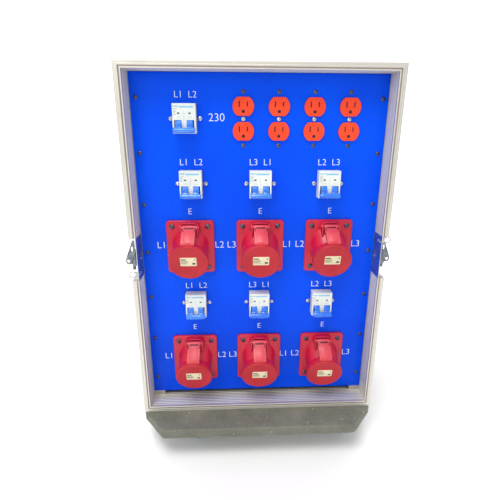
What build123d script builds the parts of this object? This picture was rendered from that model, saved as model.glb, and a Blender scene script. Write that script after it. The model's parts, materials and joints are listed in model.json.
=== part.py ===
"""Portable power distribution cabinet on casters.

Row frame: +Z up, the front faces -Y, and the origin is on the floor under the middle of the case.
All sizes are in millimetres.
"""
import os
from math import cos, radians, sin

from build123d import *

os.makedirs("parts", exist_ok=True)

# ---------------------------------------------------------------- driving dimensions
# Case: plywood walls held in an aluminium tongue-and-groove frame
HALF_W = 217.0
HALF_D = 150.0
BASE_TOP = 67.0
CASE_H = 620.0
SKIN = 1.0
INNER_SKIN = 1.5
PLY = 9.5
FRAME_DEPTH = 40.0
WALL_START = 8.0
TRIM_LEG = 22.0
FIT_GAP = 0.2

# Front panel, held on two rack rails
PANEL_RECESS = 30.0
PANEL_T = 2.0
PANEL_Z = 380.0
PANEL_HALF_W = 204.0
PANEL_DOWN = 290.5
PANEL_UP = 294.5
PANEL_SCREW_X = 195.0
PANEL_SCREW_PITCH = 85.7
PANEL_SCREWS_PER_SIDE = 7
PANEL_HOLE_R = 2.6

# Two-pole circuit breakers
BREAKER_W = 36.0
BREAKER_FACE_H = 45.0
BREAKER_BODY_H = 82.0
BREAKER_PROUD = 14.0
BREAKER_DEPTH = 66.0
BREAKER_SCREW_X = 23.0
BREAKER_HOLE_R = 2.1
BREAKER_CLEARANCE = 0.5
BREAKER_PITCH = 114.0
TOGGLE_R = 7.0
TOGGLE_DROP = 9.0

# Five-pole angled power sockets
SOCKET_PITCH = 120.0
SOCKET_FIRST_X = -119.5
SOCKET_ROWS_Z = (PANEL_Z + 11.2, PANEL_Z - 213.0)
FLANGE_W = 81.5
FLANGE_H = 95.0
FLANGE_T = 5.0
SOCKET_HOLE_X = 60.4
SOCKET_HOLE_Z = 74.6
SOCKET_TILT = 15.0
FLANGE_CORNER_R = 6.0
BARREL_R = 31.0
BARREL_BORE_R = 27.0
BARREL_LEN = 33.0
BARREL_ROOT = 12.0
BORE_DEPTH = 38.0
PANEL_BORE_R = 33.5
BARREL_DROP = 5.5
CARRIER_R = 19.0
CARRIER_LEN = 26.0
CONTACT_R = 3.0
CONTACT_T = 0.8
LID_R = 33.0
LID_T = 7.2
LID_GAP = 0.3
HINGE_OUT = 15.0
HINGE_UP = 38.0
ARM_W = 23.0

# Duplex receptacles
RECEPTACLE_FIRST_X = -27.9
RECEPTACLE_PITCH = 57.0
RECEPTACLE_Z = PANEL_Z + 225.5
FACE_SPACING = 38.1
STRAP_SCREW_Z = 41.65
STRAP_HOLE_R = 1.85
FACE_R = 16.9
FACE_HALF_H = 14.3
SLOT_DEPTH = 14.0
SLOT_IN = 5.4
SLOT_OUT = 7.4
EARTH_R = 2.5
EARTH_DROP = 7.4
EARTH_FLAT = 9.6

# Side latches
LATCH_Z = 377.0
LATCH_H = 75.0
LATCH_BACK = 62.0
LATCH_AXIS_OUT = 22.0
LATCH_THROW = 6.0

# Recessed carrying handles
HANDLE_Z = 520.0
HANDLE_DISH_W = 150.0
HANDLE_DISH_H = 104.0
HANDLE_POCKET_W = 128.0
HANDLE_POCKET_H = 82.0
DISH_RIVET_Y = 67.0
DISH_RIVET_RISE = 46.0
BAIL_R = 4.0
BAIL_SPAN = 96.0
BAIL_DROP = 48.0

# Wheel base and casters
BASE_FRONT = 192.0
BASE_T = 18.0
BASE_CORNER_R = 14.0
BASE_CHAMFER_X = 43.0
BASE_CHAMFER_Y = 46.0
CASTER_X = 140.0
CASTER_Y = 140.0
WHEEL_R = 19.0
WHEEL_W = 18.0
CASTER_TRAIL = 22.0

# Supply inlet on the back wall
INLET_Z = 190.0

# ---------------------------------------------------------------- derived places
CASE_TOP = BASE_TOP + CASE_H
FRAME_W = SKIN + PLY + INNER_SKIN
INNER_X = HALF_W - FRAME_W
INNER_BOTTOM = BASE_TOP + FRAME_W
INNER_TOP = CASE_TOP - FRAME_W
FRONT = -HALF_D
PANEL_Y = FRONT + PANEL_RECESS
PANEL_BACK = PANEL_Y + PANEL_T
SIDES = (("left", -1), ("right", 1))

SOCKET_SPOTS = [
    (SOCKET_FIRST_X + SOCKET_PITCH * column, row_z)
    for row_z in SOCKET_ROWS_Z
    for column in range(3)
]
BREAKER_SPOTS = [(SOCKET_FIRST_X, PANEL_Z + 225.5)] + [
    (BREAKER_PITCH * column, PANEL_Z + row_z)
    for row_z in (121.5, -98.5)
    for column in (-1, 0, 1)
]
RECEPTACLE_XS = [RECEPTACLE_FIRST_X + RECEPTACLE_PITCH * k for k in range(4)]
OUTLET_SPOTS = [
    (x, RECEPTACLE_Z + up * FACE_SPACING / 2)
    for x in RECEPTACLE_XS
    for up in (-1, 1)
]
OUTLET_ROWS = [(0, RECEPTACLE_Z + up * FACE_SPACING / 2) for up in (-1, 1)]
PANEL_SCREW_SPOTS = [
    (side * PANEL_SCREW_X, PANEL_Z + PANEL_SCREW_PITCH * (k - 3))
    for _, side in SIDES
    for k in range(PANEL_SCREWS_PER_SIDE)
]
CASTER_SPOTS = {
    "front_left": (-CASTER_X, -CASTER_Y),
    "front_right": (CASTER_X, -CASTER_Y),
    "rear_left": (-CASTER_X, CASTER_Y),
    "rear_right": (CASTER_X, CASTER_Y),
}


# ---------------------------------------------------------------- shared helpers
def cuboid(x0, x1, y0, y1, z0, z1, mode=Mode.ADD):
    """Box between two corners, in the part that is being built."""
    with Locations(((x0 + x1) / 2, (y0 + y1) / 2, (z0 + z1) / 2)):
        Box(abs(x1 - x0), abs(y1 - y0), abs(z1 - z0), mode=mode)


def side_cuboid(side, x0, x1, y0, y1, z0, z1, mode=Mode.ADD):
    """Box on one side of the case, with x measured outward from the middle."""
    cuboid(side * x0, side * x1, y0, y1, z0, z1, mode)


def rod(start, end, radius, mode=Mode.ADD):
    """Round bar between two points, in the part that is being built."""
    a = Vector(*start)
    b = Vector(*end)
    with Locations(Plane(origin=(a + b) / 2, z_dir=(b - a).normalized())):
        Cylinder(radius, (b - a).length, mode=mode)


def dome_screw(x, z, seat_y, head_r, head_t, shank_r, shank_len, outward=-1):
    """Pan head on a face that looks along outward, with its shank going the other way."""
    rod((x, seat_y, z), (x, seat_y + outward * head_t, z), head_r)
    rod((x, seat_y, z), (x, seat_y - outward * shank_len, z), shank_r)


def barrel_plane(x, z, along):
    """Plane across a tilted barrel, at a distance along its axis from the front panel."""
    tilt = radians(SOCKET_TILT)
    axis = Vector(0, -cos(tilt), -sin(tilt))
    origin = Vector(x, PANEL_Y, z - BARREL_DROP) + axis * along
    return Plane(origin=origin, x_dir=(1, 0, 0), z_dir=axis)


def contact_ring():
    """Four contacts on the left, right and top of a ring, and the earth at the bottom."""
    return PolarLocations(12.5, 5, start_angle=-90)


# ---------------------------------------------------------------- case walls
INNER_PLY_X = INNER_X + INNER_SKIN
LATCH_CUT = LATCH_H / 2 + FIT_GAP
POCKET_CUT_W = HANDLE_POCKET_W / 2 + FIT_GAP
POCKET_CUT_H = HANDLE_POCKET_H / 2 + FIT_GAP
with BuildPart() as side_walls:
    for _, side in SIDES:
        side_cuboid(side, INNER_PLY_X, HALF_W - SKIN, FRONT + WALL_START, HALF_D - SKIN,
                    BASE_TOP + SKIN, CASE_TOP - SKIN)
        side_cuboid(side, INNER_X, HALF_W, FRONT, FRONT + LATCH_BACK + FIT_GAP,
                    LATCH_Z - LATCH_CUT, LATCH_Z + LATCH_CUT, Mode.SUBTRACT)
        side_cuboid(side, INNER_X, HALF_W, -POCKET_CUT_W, POCKET_CUT_W,
                    HANDLE_Z - POCKET_CUT_H, HANDLE_Z + POCKET_CUT_H, Mode.SUBTRACT)
side_walls.part.label = "side_walls"
export_step(side_walls.part, "parts/side_walls.step")

# The middle of the top board stands flush with the trims that cover its edges
with BuildPart() as wall_top:
    cuboid(-INNER_PLY_X, INNER_PLY_X, FRONT + WALL_START, HALF_D - SKIN, INNER_TOP + INNER_SKIN,
           CASE_TOP - SKIN)
    cuboid(-HALF_W + TRIM_LEG, HALF_W - TRIM_LEG, FRONT + FRAME_DEPTH, HALF_D - TRIM_LEG,
           INNER_TOP + INNER_SKIN, CASE_TOP)
wall_top.part.label = "wall_top"
export_step(wall_top.part, "parts/wall_top.step")

with BuildPart() as wall_bottom:
    cuboid(-INNER_PLY_X, INNER_PLY_X, FRONT + WALL_START, HALF_D - SKIN, BASE_TOP + SKIN,
           INNER_BOTTOM - INNER_SKIN)
wall_bottom.part.label = "wall_bottom"
export_step(wall_bottom.part, "parts/wall_bottom.step")

with BuildPart() as wall_back:
    cuboid(-INNER_PLY_X, INNER_PLY_X, HALF_D - SKIN - PLY, HALF_D - SKIN,
           INNER_BOTTOM - INNER_SKIN, INNER_TOP + INNER_SKIN)
    rod((0, HALF_D - 30, INLET_Z), (0, HALF_D, INLET_Z), BARREL_R + 1, Mode.SUBTRACT)
wall_back.part.label = "wall_back"
export_step(wall_back.part, "parts/wall_back.step")

# ---------------------------------------------------------------- front frame
# Section of the channel: outward from the opening, and back from the front face
CHANNEL = (
    (0.0, FRAME_W, 3.0, WALL_START),
    (0.0, INNER_SKIN, WALL_START, FRAME_DEPTH),
    (FRAME_W - SKIN, FRAME_W, WALL_START, FRAME_DEPTH),
    (0.0, 2.1, 0.0, 3.0),
    (4.3, 6.5, 0.0, 3.0),
    (6.5, FRAME_W, 0.6, 3.0),
)


def channel_section(place):
    """Draw the channel's section, with place turning (outward, back) into sketch coordinates."""
    for out0, out1, back0, back1 in CHANNEL:
        a0, b0 = place(out0, back0)
        a1, b1 = place(out1, back1)
        with Locations(((a0 + a1) / 2, (b0 + b1) / 2)):
            Rectangle(abs(a1 - a0), abs(b1 - b0))


def mitred_face(corners):
    """Keep only what is inside these (x, z) corners, seen from the front."""
    with BuildSketch(Plane.XZ) as outline:
        Polygon(*corners, align=None)
    extrude(outline.sketch, amount=2 * HALF_D, both=True, mode=Mode.INTERSECT)


for name, up in (("frame_top", 1), ("frame_bottom", -1)):
    inner_z = INNER_TOP if up > 0 else INNER_BOTTOM
    outer_z = CASE_TOP if up > 0 else BASE_TOP
    with BuildPart() as bar:
        with BuildSketch(Plane.YZ.offset(-HALF_W)):
            channel_section(lambda out, back: (FRONT + back, inner_z + up * out))
        extrude(amount=2 * HALF_W)
        mitred_face([(-INNER_X, inner_z), (INNER_X, inner_z), (HALF_W, outer_z), (-HALF_W, outer_z)])
    bar.part.label = name
    export_step(bar.part, f"parts/{name}.step")

for side_name, side in SIDES:
    with BuildPart() as bar:
        with BuildSketch(Plane.XY.offset(BASE_TOP)):
            channel_section(lambda out, back: (side * (INNER_X + out), FRONT + back))
        extrude(amount=CASE_H)
        mitred_face([(side * INNER_X, INNER_BOTTOM), (side * INNER_X, INNER_TOP),
                     (side * HALF_W, CASE_TOP), (side * HALF_W, BASE_TOP)])
        side_cuboid(side, INNER_X - 1, HALF_W + 1, FRONT - 1, HALF_D,
                    LATCH_Z - LATCH_H / 2 - FIT_GAP, LATCH_Z + LATCH_H / 2 + FIT_GAP, Mode.SUBTRACT)
    bar.part.label = f"frame_{side_name}"
    export_step(bar.part, f"parts/frame_{side_name}.step")

# ---------------------------------------------------------------- edge trims and corner caps
CAP_T = 1.2
TRIM_FRONT = FRONT + FRAME_DEPTH
with BuildPart() as edge_trims:
    for _, side in SIDES:
        for top in (True, False):
            z_out = CASE_TOP if top else BASE_TOP
            z_in = CASE_TOP - SKIN if top else BASE_TOP + SKIN
            z_leg = CASE_TOP - TRIM_LEG if top else BASE_TOP + TRIM_LEG
            side_cuboid(side, HALF_W - TRIM_LEG, HALF_W, TRIM_FRONT, HALF_D, z_in, z_out)
            side_cuboid(side, HALF_W - SKIN, HALF_W, TRIM_FRONT, HALF_D, z_leg, z_out)
        side_cuboid(side, HALF_W - SKIN, HALF_W, HALF_D - TRIM_LEG, HALF_D, BASE_TOP, CASE_TOP)
        side_cuboid(side, HALF_W - TRIM_LEG, HALF_W, HALF_D - SKIN, HALF_D, BASE_TOP, CASE_TOP)
    for z0, z1 in ((CASE_TOP - TRIM_LEG, CASE_TOP), (BASE_TOP, BASE_TOP + TRIM_LEG)):
        cuboid(-HALF_W, HALF_W, HALF_D - SKIN, HALF_D, z0, z1)
    cuboid(-HALF_W, HALF_W, HALF_D - TRIM_LEG, HALF_D, CASE_TOP - SKIN, CASE_TOP)
    cuboid(-HALF_W, HALF_W, HALF_D - TRIM_LEG, HALF_D, BASE_TOP, BASE_TOP + SKIN)
edge_trims.part.label = "edge_trims"
export_step(edge_trims.part, "parts/edge_trims.step")

with BuildPart() as corner_caps:
    for _, side in SIDES:
        side_cuboid(side, HALF_W - TRIM_LEG, HALF_W + CAP_T, HALF_D - TRIM_LEG, HALF_D + CAP_T,
                    CASE_TOP - TRIM_LEG, CASE_TOP + CAP_T)
        side_cuboid(side, HALF_W - TRIM_LEG, HALF_W + CAP_T, HALF_D - TRIM_LEG, HALF_D + CAP_T,
                    BASE_TOP, BASE_TOP + TRIM_LEG)
    cuboid(-HALF_W, HALF_W, -HALF_D, HALF_D, BASE_TOP - 1, CASE_TOP, Mode.SUBTRACT)
corner_caps.part.label = "corner_caps"
export_step(corner_caps.part, "parts/corner_caps.step")

# ---------------------------------------------------------------- side latches
LATCH_LOW = LATCH_Z - LATCH_H / 2
LATCH_HIGH = LATCH_Z + LATCH_H / 2
LATCH_REAR = FRONT + LATCH_BACK
LATCH_Y = FRONT + LATCH_AXIS_OUT
LATCH_PIVOT_Z = LATCH_Z + 2.5
EYE_R = 5.2
EYE_WIRE_R = 1.0
EYE_RISE = 29.2
EYE_OUT = 11.0
RIVET_R = 1.6
RIVET_HEAD_R = 2.6
RIVET_PAIR_RISE = 27.0


def latch_rivet_spots(side):
    """Rivets of one latch plate, as (y, z): a pair beside the eye, and one behind the key."""
    pair_z = LATCH_Z + side * RIVET_PAIR_RISE
    return [(FRONT + 7.0, pair_z), (FRONT + 15.0, pair_z), (FRONT + 25.0, LATCH_Z - 4.5)]



with BuildPart() as latch_plates:
    for _, side in SIDES:
        side_cuboid(side, INNER_X, INNER_X + INNER_SKIN, FRONT, LATCH_REAR, LATCH_LOW, LATCH_HIGH)
        for z0, z1 in ((LATCH_LOW, LATCH_LOW + SKIN), (LATCH_HIGH - SKIN, LATCH_HIGH)):
            side_cuboid(side, INNER_X, HALF_W, FRONT + 6, LATCH_REAR, z0, z1)
        side_cuboid(side, INNER_X, HALF_W, LATCH_REAR - SKIN, LATCH_REAR, LATCH_LOW, LATCH_HIGH)
        rod((side * INNER_X, LATCH_Y, LATCH_PIVOT_Z),
            (side * (INNER_X + 3.0), LATCH_Y, LATCH_PIVOT_Z), 6.0)
        rod((side * (INNER_X - 1), LATCH_Y, LATCH_PIVOT_Z),
            (side * HALF_W, LATCH_Y, LATCH_PIVOT_Z), 3.05, Mode.SUBTRACT)
        eye_z = LATCH_PIVOT_Z + side * EYE_RISE
        with Locations(Plane(origin=(side * (INNER_X + EYE_OUT), FRONT + 4.0, eye_z), z_dir=(0, -1, 0))):
            Torus(EYE_R, EYE_WIRE_R)
        side_cuboid(side, INNER_X + 0.5, INNER_X + EYE_OUT - EYE_R + 0.4, FRONT + 3.2, FRONT + 4.8,
                    eye_z - EYE_R, eye_z + EYE_R)
        for y, z in latch_rivet_spots(side):
            rod((side * (INNER_X - 1), y, z), (side * HALF_W, y, z), RIVET_R + 0.05, Mode.SUBTRACT)
latch_plates.part.label = "latch_plates"
export_step(latch_plates.part, "parts/latch_plates.step")

HOOK_IN = INNER_X + 3.3
HOOK_T = 2.0
WING_HUB_IN = HOOK_IN + HOOK_T + 0.4
WING_IN = HALF_W - 2.5
WING_T = 2.0
WING_ROD_R = 2.8
WING_ROD_LEN = 27.0
# Outline of a wing, as (outward from the wall, height above the key)
WING_OUTLINE = ((-2.5, 26), (1.0, 26), (13.5, -6), (14.5, -12), (12.5, -16.5), (5.5, -17.5), (-2.5, -17))
for side_name, side in SIDES:
    with BuildPart() as latch_hook:
        side_cuboid(side, HOOK_IN, HOOK_IN + HOOK_T, FRONT + 2, LATCH_Y + 22, LATCH_PIVOT_Z - 13,
                    LATCH_PIVOT_Z + 13)
        side_cuboid(side, HOOK_IN, HOOK_IN + 5.2, FRONT + 2, FRONT + 4, LATCH_PIVOT_Z - 13,
                    LATCH_PIVOT_Z + 13)
        side_cuboid(side, HOOK_IN - 1, HOOK_IN + HOOK_T + 1, LATCH_Y - 9.6, LATCH_Y + 9.6,
                    LATCH_PIVOT_Z - 3.4, LATCH_PIVOT_Z + 3.4, Mode.SUBTRACT)
        side_cuboid(side, HOOK_IN - 1, HOOK_IN + HOOK_T + 1, LATCH_Y - 3.6, LATCH_Y + 3.6,
                    LATCH_PIVOT_Z - 8.6, LATCH_PIVOT_Z, Mode.SUBTRACT)
    latch_hook.part.label = f"latch_hook_{side_name}"
    export_step(latch_hook.part, f"parts/latch_hook_{side_name}.step")

    with BuildPart() as latch_wing:
        rod((side * WING_HUB_IN, LATCH_Y, LATCH_PIVOT_Z), (side * WING_IN, LATCH_Y, LATCH_PIVOT_Z), 10.0)
        rod((side * (INNER_X + 0.5), LATCH_Y, LATCH_PIVOT_Z),
            (side * WING_HUB_IN, LATCH_Y, LATCH_PIVOT_Z), 3.0)
        rod((side * (HOOK_IN + 0.2), LATCH_Y, LATCH_PIVOT_Z - LATCH_THROW),
            (side * WING_HUB_IN, LATCH_Y, LATCH_PIVOT_Z - LATCH_THROW), 2.0)
        with BuildSketch(Plane.XZ.offset(-LATCH_Y)):
            with BuildLine():
                Polyline(*[(side * (HALF_W + out), LATCH_PIVOT_Z + up) for out, up in WING_OUTLINE],
                         close=True)
            make_face()
            with Locations((side * (HALF_W + 10.0), LATCH_PIVOT_Z - 12)):
                Circle(2.6, mode=Mode.SUBTRACT)
            with Locations((side * (HALF_W + 2.5), LATCH_PIVOT_Z + 10)):
                SlotOverall(9, 3, rotation=90, mode=Mode.SUBTRACT)
        extrude(amount=WING_T / 2, both=True)
        rod((side * (HALF_W + 1), LATCH_Y, LATCH_PIVOT_Z + 4),
            (side * (HALF_W + 1), LATCH_Y, LATCH_PIVOT_Z - WING_ROD_LEN), WING_ROD_R)
    latch_wing.part.label = f"latch_wing_{side_name}"
    export_step(latch_wing.part, f"parts/latch_wing_{side_name}.step")

# ---------------------------------------------------------------- recessed handles
DISH_FLANGE_T = 1.2
DISH_FLOOR = INNER_X - 1.0
BAIL_X = HALF_W - 6.0
BAIL_Z = HANDLE_Z + 27.0
LUG_T = 5.0
LUG_REACH = 4.5
LUG_HALF_H = 5.0
BAIL_PIN_R = 3.0
BAIL_CORNER_R = 10.0
with BuildPart() as handle_dishes:
    for _, side in SIDES:
        side_cuboid(side, HALF_W - SKIN, HALF_W - SKIN + DISH_FLANGE_T, -HANDLE_DISH_W / 2,
                    HANDLE_DISH_W / 2, HANDLE_Z - HANDLE_DISH_H / 2, HANDLE_Z + HANDLE_DISH_H / 2)
        side_cuboid(side, DISH_FLOOR - DISH_FLANGE_T, HALF_W - SKIN + 0.2, -HANDLE_POCKET_W / 2,
                    HANDLE_POCKET_W / 2, HANDLE_Z - HANDLE_POCKET_H / 2, HANDLE_Z + HANDLE_POCKET_H / 2)
        side_cuboid(side, DISH_FLOOR, HALF_W + 3, -HANDLE_POCKET_W / 2 + DISH_FLANGE_T,
                    HANDLE_POCKET_W / 2 - DISH_FLANGE_T, HANDLE_Z - HANDLE_POCKET_H / 2 + DISH_FLANGE_T,
                    HANDLE_Z + HANDLE_POCKET_H / 2 - DISH_FLANGE_T, Mode.SUBTRACT)
        for end in (-1, 1):
            lug_y = end * (BAIL_SPAN / 2 + BAIL_R + 0.6)
            side_cuboid(side, DISH_FLOOR - 0.2, BAIL_X + LUG_REACH, lug_y, lug_y + end * LUG_T,
                        BAIL_Z - LUG_HALF_H, BAIL_Z + LUG_HALF_H)
            rod((side * BAIL_X, lug_y - end, BAIL_Z), (side * BAIL_X, lug_y + end * (LUG_T + 1), BAIL_Z),
                BAIL_PIN_R + 0.05, Mode.SUBTRACT)
            for z in (HANDLE_Z - DISH_RIVET_RISE, HANDLE_Z + DISH_RIVET_RISE):
                rod((side * (INNER_X + 2), end * DISH_RIVET_Y, z),
                    (side * (HALF_W + 2), end * DISH_RIVET_Y, z), RIVET_R + 0.05, Mode.SUBTRACT)
handle_dishes.part.label = "handle_dishes"
export_step(handle_dishes.part, "parts/handle_dishes.step")

for side_name, side in SIDES:
    with BuildPart() as handle_bail:
        with BuildLine():
            FilletPolyline(
                (side * BAIL_X, -BAIL_SPAN / 2, BAIL_Z + 2),
                (side * BAIL_X, -BAIL_SPAN / 2, BAIL_Z - BAIL_DROP),
                (side * BAIL_X, BAIL_SPAN / 2, BAIL_Z - BAIL_DROP),
                (side * BAIL_X, BAIL_SPAN / 2, BAIL_Z + 2),
                radius=BAIL_CORNER_R,
            )
        with BuildSketch(Plane.XY.offset(BAIL_Z + 2)):
            with Locations((side * BAIL_X, -BAIL_SPAN / 2)):
                Circle(BAIL_R)
        sweep()
        for end in (-1, 1):
            rod((side * BAIL_X, end * BAIL_SPAN / 2, BAIL_Z),
                (side * BAIL_X, end * (BAIL_SPAN / 2 + BAIL_R + LUG_T), BAIL_Z), BAIL_PIN_R)
    handle_bail.part.label = f"handle_bail_{side_name}"
    export_step(handle_bail.part, f"parts/handle_bail_{side_name}.step")

with BuildPart() as rivets:
    for _, side in SIDES:
        for y, z in latch_rivet_spots(side):
            rod((side * INNER_X, y, z), (side * (INNER_X + 2.6), y, z), RIVET_R)
            rod((side * INNER_X, y, z), (side * (INNER_X - 1.1), y, z), RIVET_HEAD_R)
        for end in (-1, 1):
            for z in (HANDLE_Z - DISH_RIVET_RISE, HANDLE_Z + DISH_RIVET_RISE):
                rod((side * (HALF_W - SKIN), end * DISH_RIVET_Y, z),
                    (side * (HALF_W - SKIN + DISH_FLANGE_T), end * DISH_RIVET_Y, z), RIVET_R)
                rod((side * (HALF_W - SKIN + DISH_FLANGE_T), end * DISH_RIVET_Y, z),
                    (side * (HALF_W - SKIN + DISH_FLANGE_T + 1.1), end * DISH_RIVET_Y, z), 3.2)
rivets.part.label = "rivets"
export_step(rivets.part, "parts/rivets.step")

# ---------------------------------------------------------------- rack rails and front panel
RAIL_IN = 184.0
RAIL_OUT = INNER_X - 0.1
RAIL_T = 2.5
with BuildPart() as rack_rails:
    for _, side in SIDES:
        side_cuboid(side, RAIL_IN, RAIL_OUT, PANEL_BACK, PANEL_BACK + RAIL_T, INNER_BOTTOM + 0.5,
                    INNER_TOP - 0.5)
        side_cuboid(side, RAIL_OUT - RAIL_T, RAIL_OUT, PANEL_BACK, PANEL_BACK + 34, INNER_BOTTOM + 0.5,
                    INNER_TOP - 0.5)
    for x, z in PANEL_SCREW_SPOTS:
        rod((x, PANEL_Y, z), (x, PANEL_BACK + 12, z), 2.1, Mode.SUBTRACT)
rack_rails.part.label = "rack_rails"
export_step(rack_rails.part, "parts/rack_rails.step")

BREAKER_CUT_X = BREAKER_W / 2 + BREAKER_CLEARANCE
BREAKER_CUT_Z = BREAKER_FACE_H / 2 + BREAKER_CLEARANCE
with BuildPart() as front_panel:
    cuboid(-PANEL_HALF_W, PANEL_HALF_W, PANEL_Y, PANEL_BACK, PANEL_Z - PANEL_DOWN, PANEL_Z + PANEL_UP)
    for x, z in PANEL_SCREW_SPOTS:
        rod((x, PANEL_Y - 1, z), (x, PANEL_BACK + 1, z), PANEL_HOLE_R, Mode.SUBTRACT)
    for x, z in BREAKER_SPOTS:
        cuboid(x - BREAKER_CUT_X, x + BREAKER_CUT_X, PANEL_Y - 1, PANEL_BACK + 1,
               z - BREAKER_CUT_Z, z + BREAKER_CUT_Z, Mode.SUBTRACT)
        for side in (-1, 1):
            rod((x + side * BREAKER_SCREW_X, PANEL_Y - 1, z),
                (x + side * BREAKER_SCREW_X, PANEL_BACK + 1, z), BREAKER_HOLE_R, Mode.SUBTRACT)
    for x, z in SOCKET_SPOTS:
        rod((x, PANEL_Y - 1, z - BARREL_DROP), (x, PANEL_BACK + 1, z - BARREL_DROP), PANEL_BORE_R,
            Mode.SUBTRACT)
        for across in (-1, 1):
            for up in (-1, 1):
                spot = (x + across * SOCKET_HOLE_X / 2, z + up * SOCKET_HOLE_Z / 2)
                rod((spot[0], PANEL_Y - 1, spot[1]), (spot[0], PANEL_BACK + 1, spot[1]), PANEL_HOLE_R,
                    Mode.SUBTRACT)
    with BuildSketch(Plane.XZ.offset(-PANEL_BACK)):
        with Locations(OUTLET_SPOTS):
            Circle(FACE_R + FIT_GAP)
        with Locations(OUTLET_ROWS):
            Rectangle(2 * HALF_W, 2 * (FACE_HALF_H + FIT_GAP), mode=Mode.INTERSECT)
    extrude(amount=PANEL_T, mode=Mode.SUBTRACT)
    for x in RECEPTACLE_XS:
        for up in (-1, 0, 1):
            rod((x, PANEL_Y - 1, RECEPTACLE_Z + up * STRAP_SCREW_Z),
                (x, PANEL_BACK + 1, RECEPTACLE_Z + up * STRAP_SCREW_Z), STRAP_HOLE_R + 0.05,
                Mode.SUBTRACT)
front_panel.part.label = "front_panel"
export_step(front_panel.part, "parts/front_panel.step")

with BuildPart() as panel_screws:
    for x, z in PANEL_SCREW_SPOTS:
        dome_screw(x, z, PANEL_Y, 3.5, 2.2, 2.0, 10.0)
panel_screws.part.label = "panel_screws"
export_step(panel_screws.part, "parts/panel_screws.step")

# ---------------------------------------------------------------- circuit breakers
BREAKER_FRONT = PANEL_Y - BREAKER_PROUD
BREAKER_BACK = BREAKER_FRONT + BREAKER_DEPTH
TOGGLE_Y = BREAKER_FRONT + 3.0
TOGGLE_W = 12.5
TOGGLE_X = 9.0
TOGGLE_GAP = 0.4
RAIL_HALF_H = 17.5
with BuildPart() as breaker_bodies:
    for x, z in BREAKER_SPOTS:
        cuboid(x - BREAKER_W / 2, x + BREAKER_W / 2, BREAKER_FRONT, PANEL_BACK + 8,
               z - BREAKER_FACE_H / 2, z + BREAKER_FACE_H / 2)
        cuboid(x - BREAKER_W / 2, x + BREAKER_W / 2, PANEL_BACK + 2, BREAKER_BACK,
               z - BREAKER_BODY_H / 2, z + BREAKER_BODY_H / 2)
        for up in (-1, 1):
            cuboid(x - BREAKER_W / 2, x + BREAKER_W / 2, BREAKER_BACK - 0.1, BREAKER_BACK + 4,
                   z + up * (RAIL_HALF_H + 0.3), z + up * (RAIL_HALF_H + 5))
        for across in (-1, 1):
            rod((x + across * TOGGLE_X - TOGGLE_W / 2 - TOGGLE_GAP, TOGGLE_Y, z - TOGGLE_DROP),
                (x + across * TOGGLE_X + TOGGLE_W / 2 + TOGGLE_GAP, TOGGLE_Y, z - TOGGLE_DROP),
                TOGGLE_R + TOGGLE_GAP, Mode.SUBTRACT)
        rod((x - TOGGLE_X, TOGGLE_Y, z - TOGGLE_DROP), (x + TOGGLE_X, TOGGLE_Y, z - TOGGLE_DROP), 2.05,
            Mode.SUBTRACT)
breaker_bodies.part.label = "breaker_bodies"
export_step(breaker_bodies.part, "parts/breaker_bodies.step")

LEVER_REACH = 15.0
LEVER_T = 4.5
TOGGLE_REST = 42.0
for number, (x, z) in enumerate(BREAKER_SPOTS, start=1):
    pivot = Vector(x, TOGGLE_Y, z - TOGGLE_DROP)
    slope = radians(TOGGLE_REST)
    lever_dir = Vector(0, -cos(slope), -sin(slope))
    with BuildPart() as breaker_handle:
        for across in (-1, 1):
            rod((x + across * TOGGLE_X - TOGGLE_W / 2, pivot.Y, pivot.Z),
                (x + across * TOGGLE_X + TOGGLE_W / 2, pivot.Y, pivot.Z), TOGGLE_R)
            lever_mid = pivot + Vector(across * TOGGLE_X, 0, 0) + lever_dir * LEVER_REACH / 2
            with Locations(Plane(origin=lever_mid, x_dir=(1, 0, 0), z_dir=lever_dir)):
                Box(TOGGLE_W, LEVER_T, LEVER_REACH)
        rod((x - TOGGLE_X, pivot.Y, pivot.Z), (x + TOGGLE_X, pivot.Y, pivot.Z), 2.0)
        with Locations(Plane(origin=pivot + lever_dir * (LEVER_REACH - 2.2), x_dir=(1, 0, 0),
                             z_dir=lever_dir)):
            Box(2 * TOGGLE_X, LEVER_T - 1, 3.6)
    breaker_handle.part.label = f"breaker_handle_{number}"
    export_step(breaker_handle.part, f"parts/breaker_handle_{number}.step")

HAT_IN = 12.5
HAT_OUT = 13.5
HAT_T = 1.0
HAT_DEPTH = 7.5
HAT_FRONT = BREAKER_BACK + 0.1
HAT_BACK = HAT_FRONT + HAT_DEPTH
RAIL_SPANS = ((0, SOCKET_FIRST_X - 36, SOCKET_FIRST_X + 36), (1, -150, 150), (4, -150, 150))
with BuildPart() as breaker_rails:
    for first, x0, x1 in RAIL_SPANS:
        z = BREAKER_SPOTS[first][1]
        for up in (-1, 1):
            cuboid(x0, x1, HAT_FRONT, HAT_FRONT + HAT_T, z + up * HAT_IN, z + up * RAIL_HALF_H)
            cuboid(x0, x1, HAT_FRONT, HAT_BACK, z + up * HAT_IN, z + up * HAT_OUT)
        cuboid(x0, x1, HAT_BACK - HAT_T, HAT_BACK, z - HAT_OUT, z + HAT_OUT)
    for x, z in BREAKER_SPOTS:
        for side in (-1, 1):
            post_x = x + side * BREAKER_SCREW_X
            rod((post_x, PANEL_BACK, z), (post_x, BREAKER_BACK + 7, z), 4.0)
            rod((post_x, PANEL_BACK - 1, z), (post_x, PANEL_BACK + 9, z), BREAKER_HOLE_R,
                Mode.SUBTRACT)
breaker_rails.part.label = "breaker_rails"
export_step(breaker_rails.part, "parts/breaker_rails.step")

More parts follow.
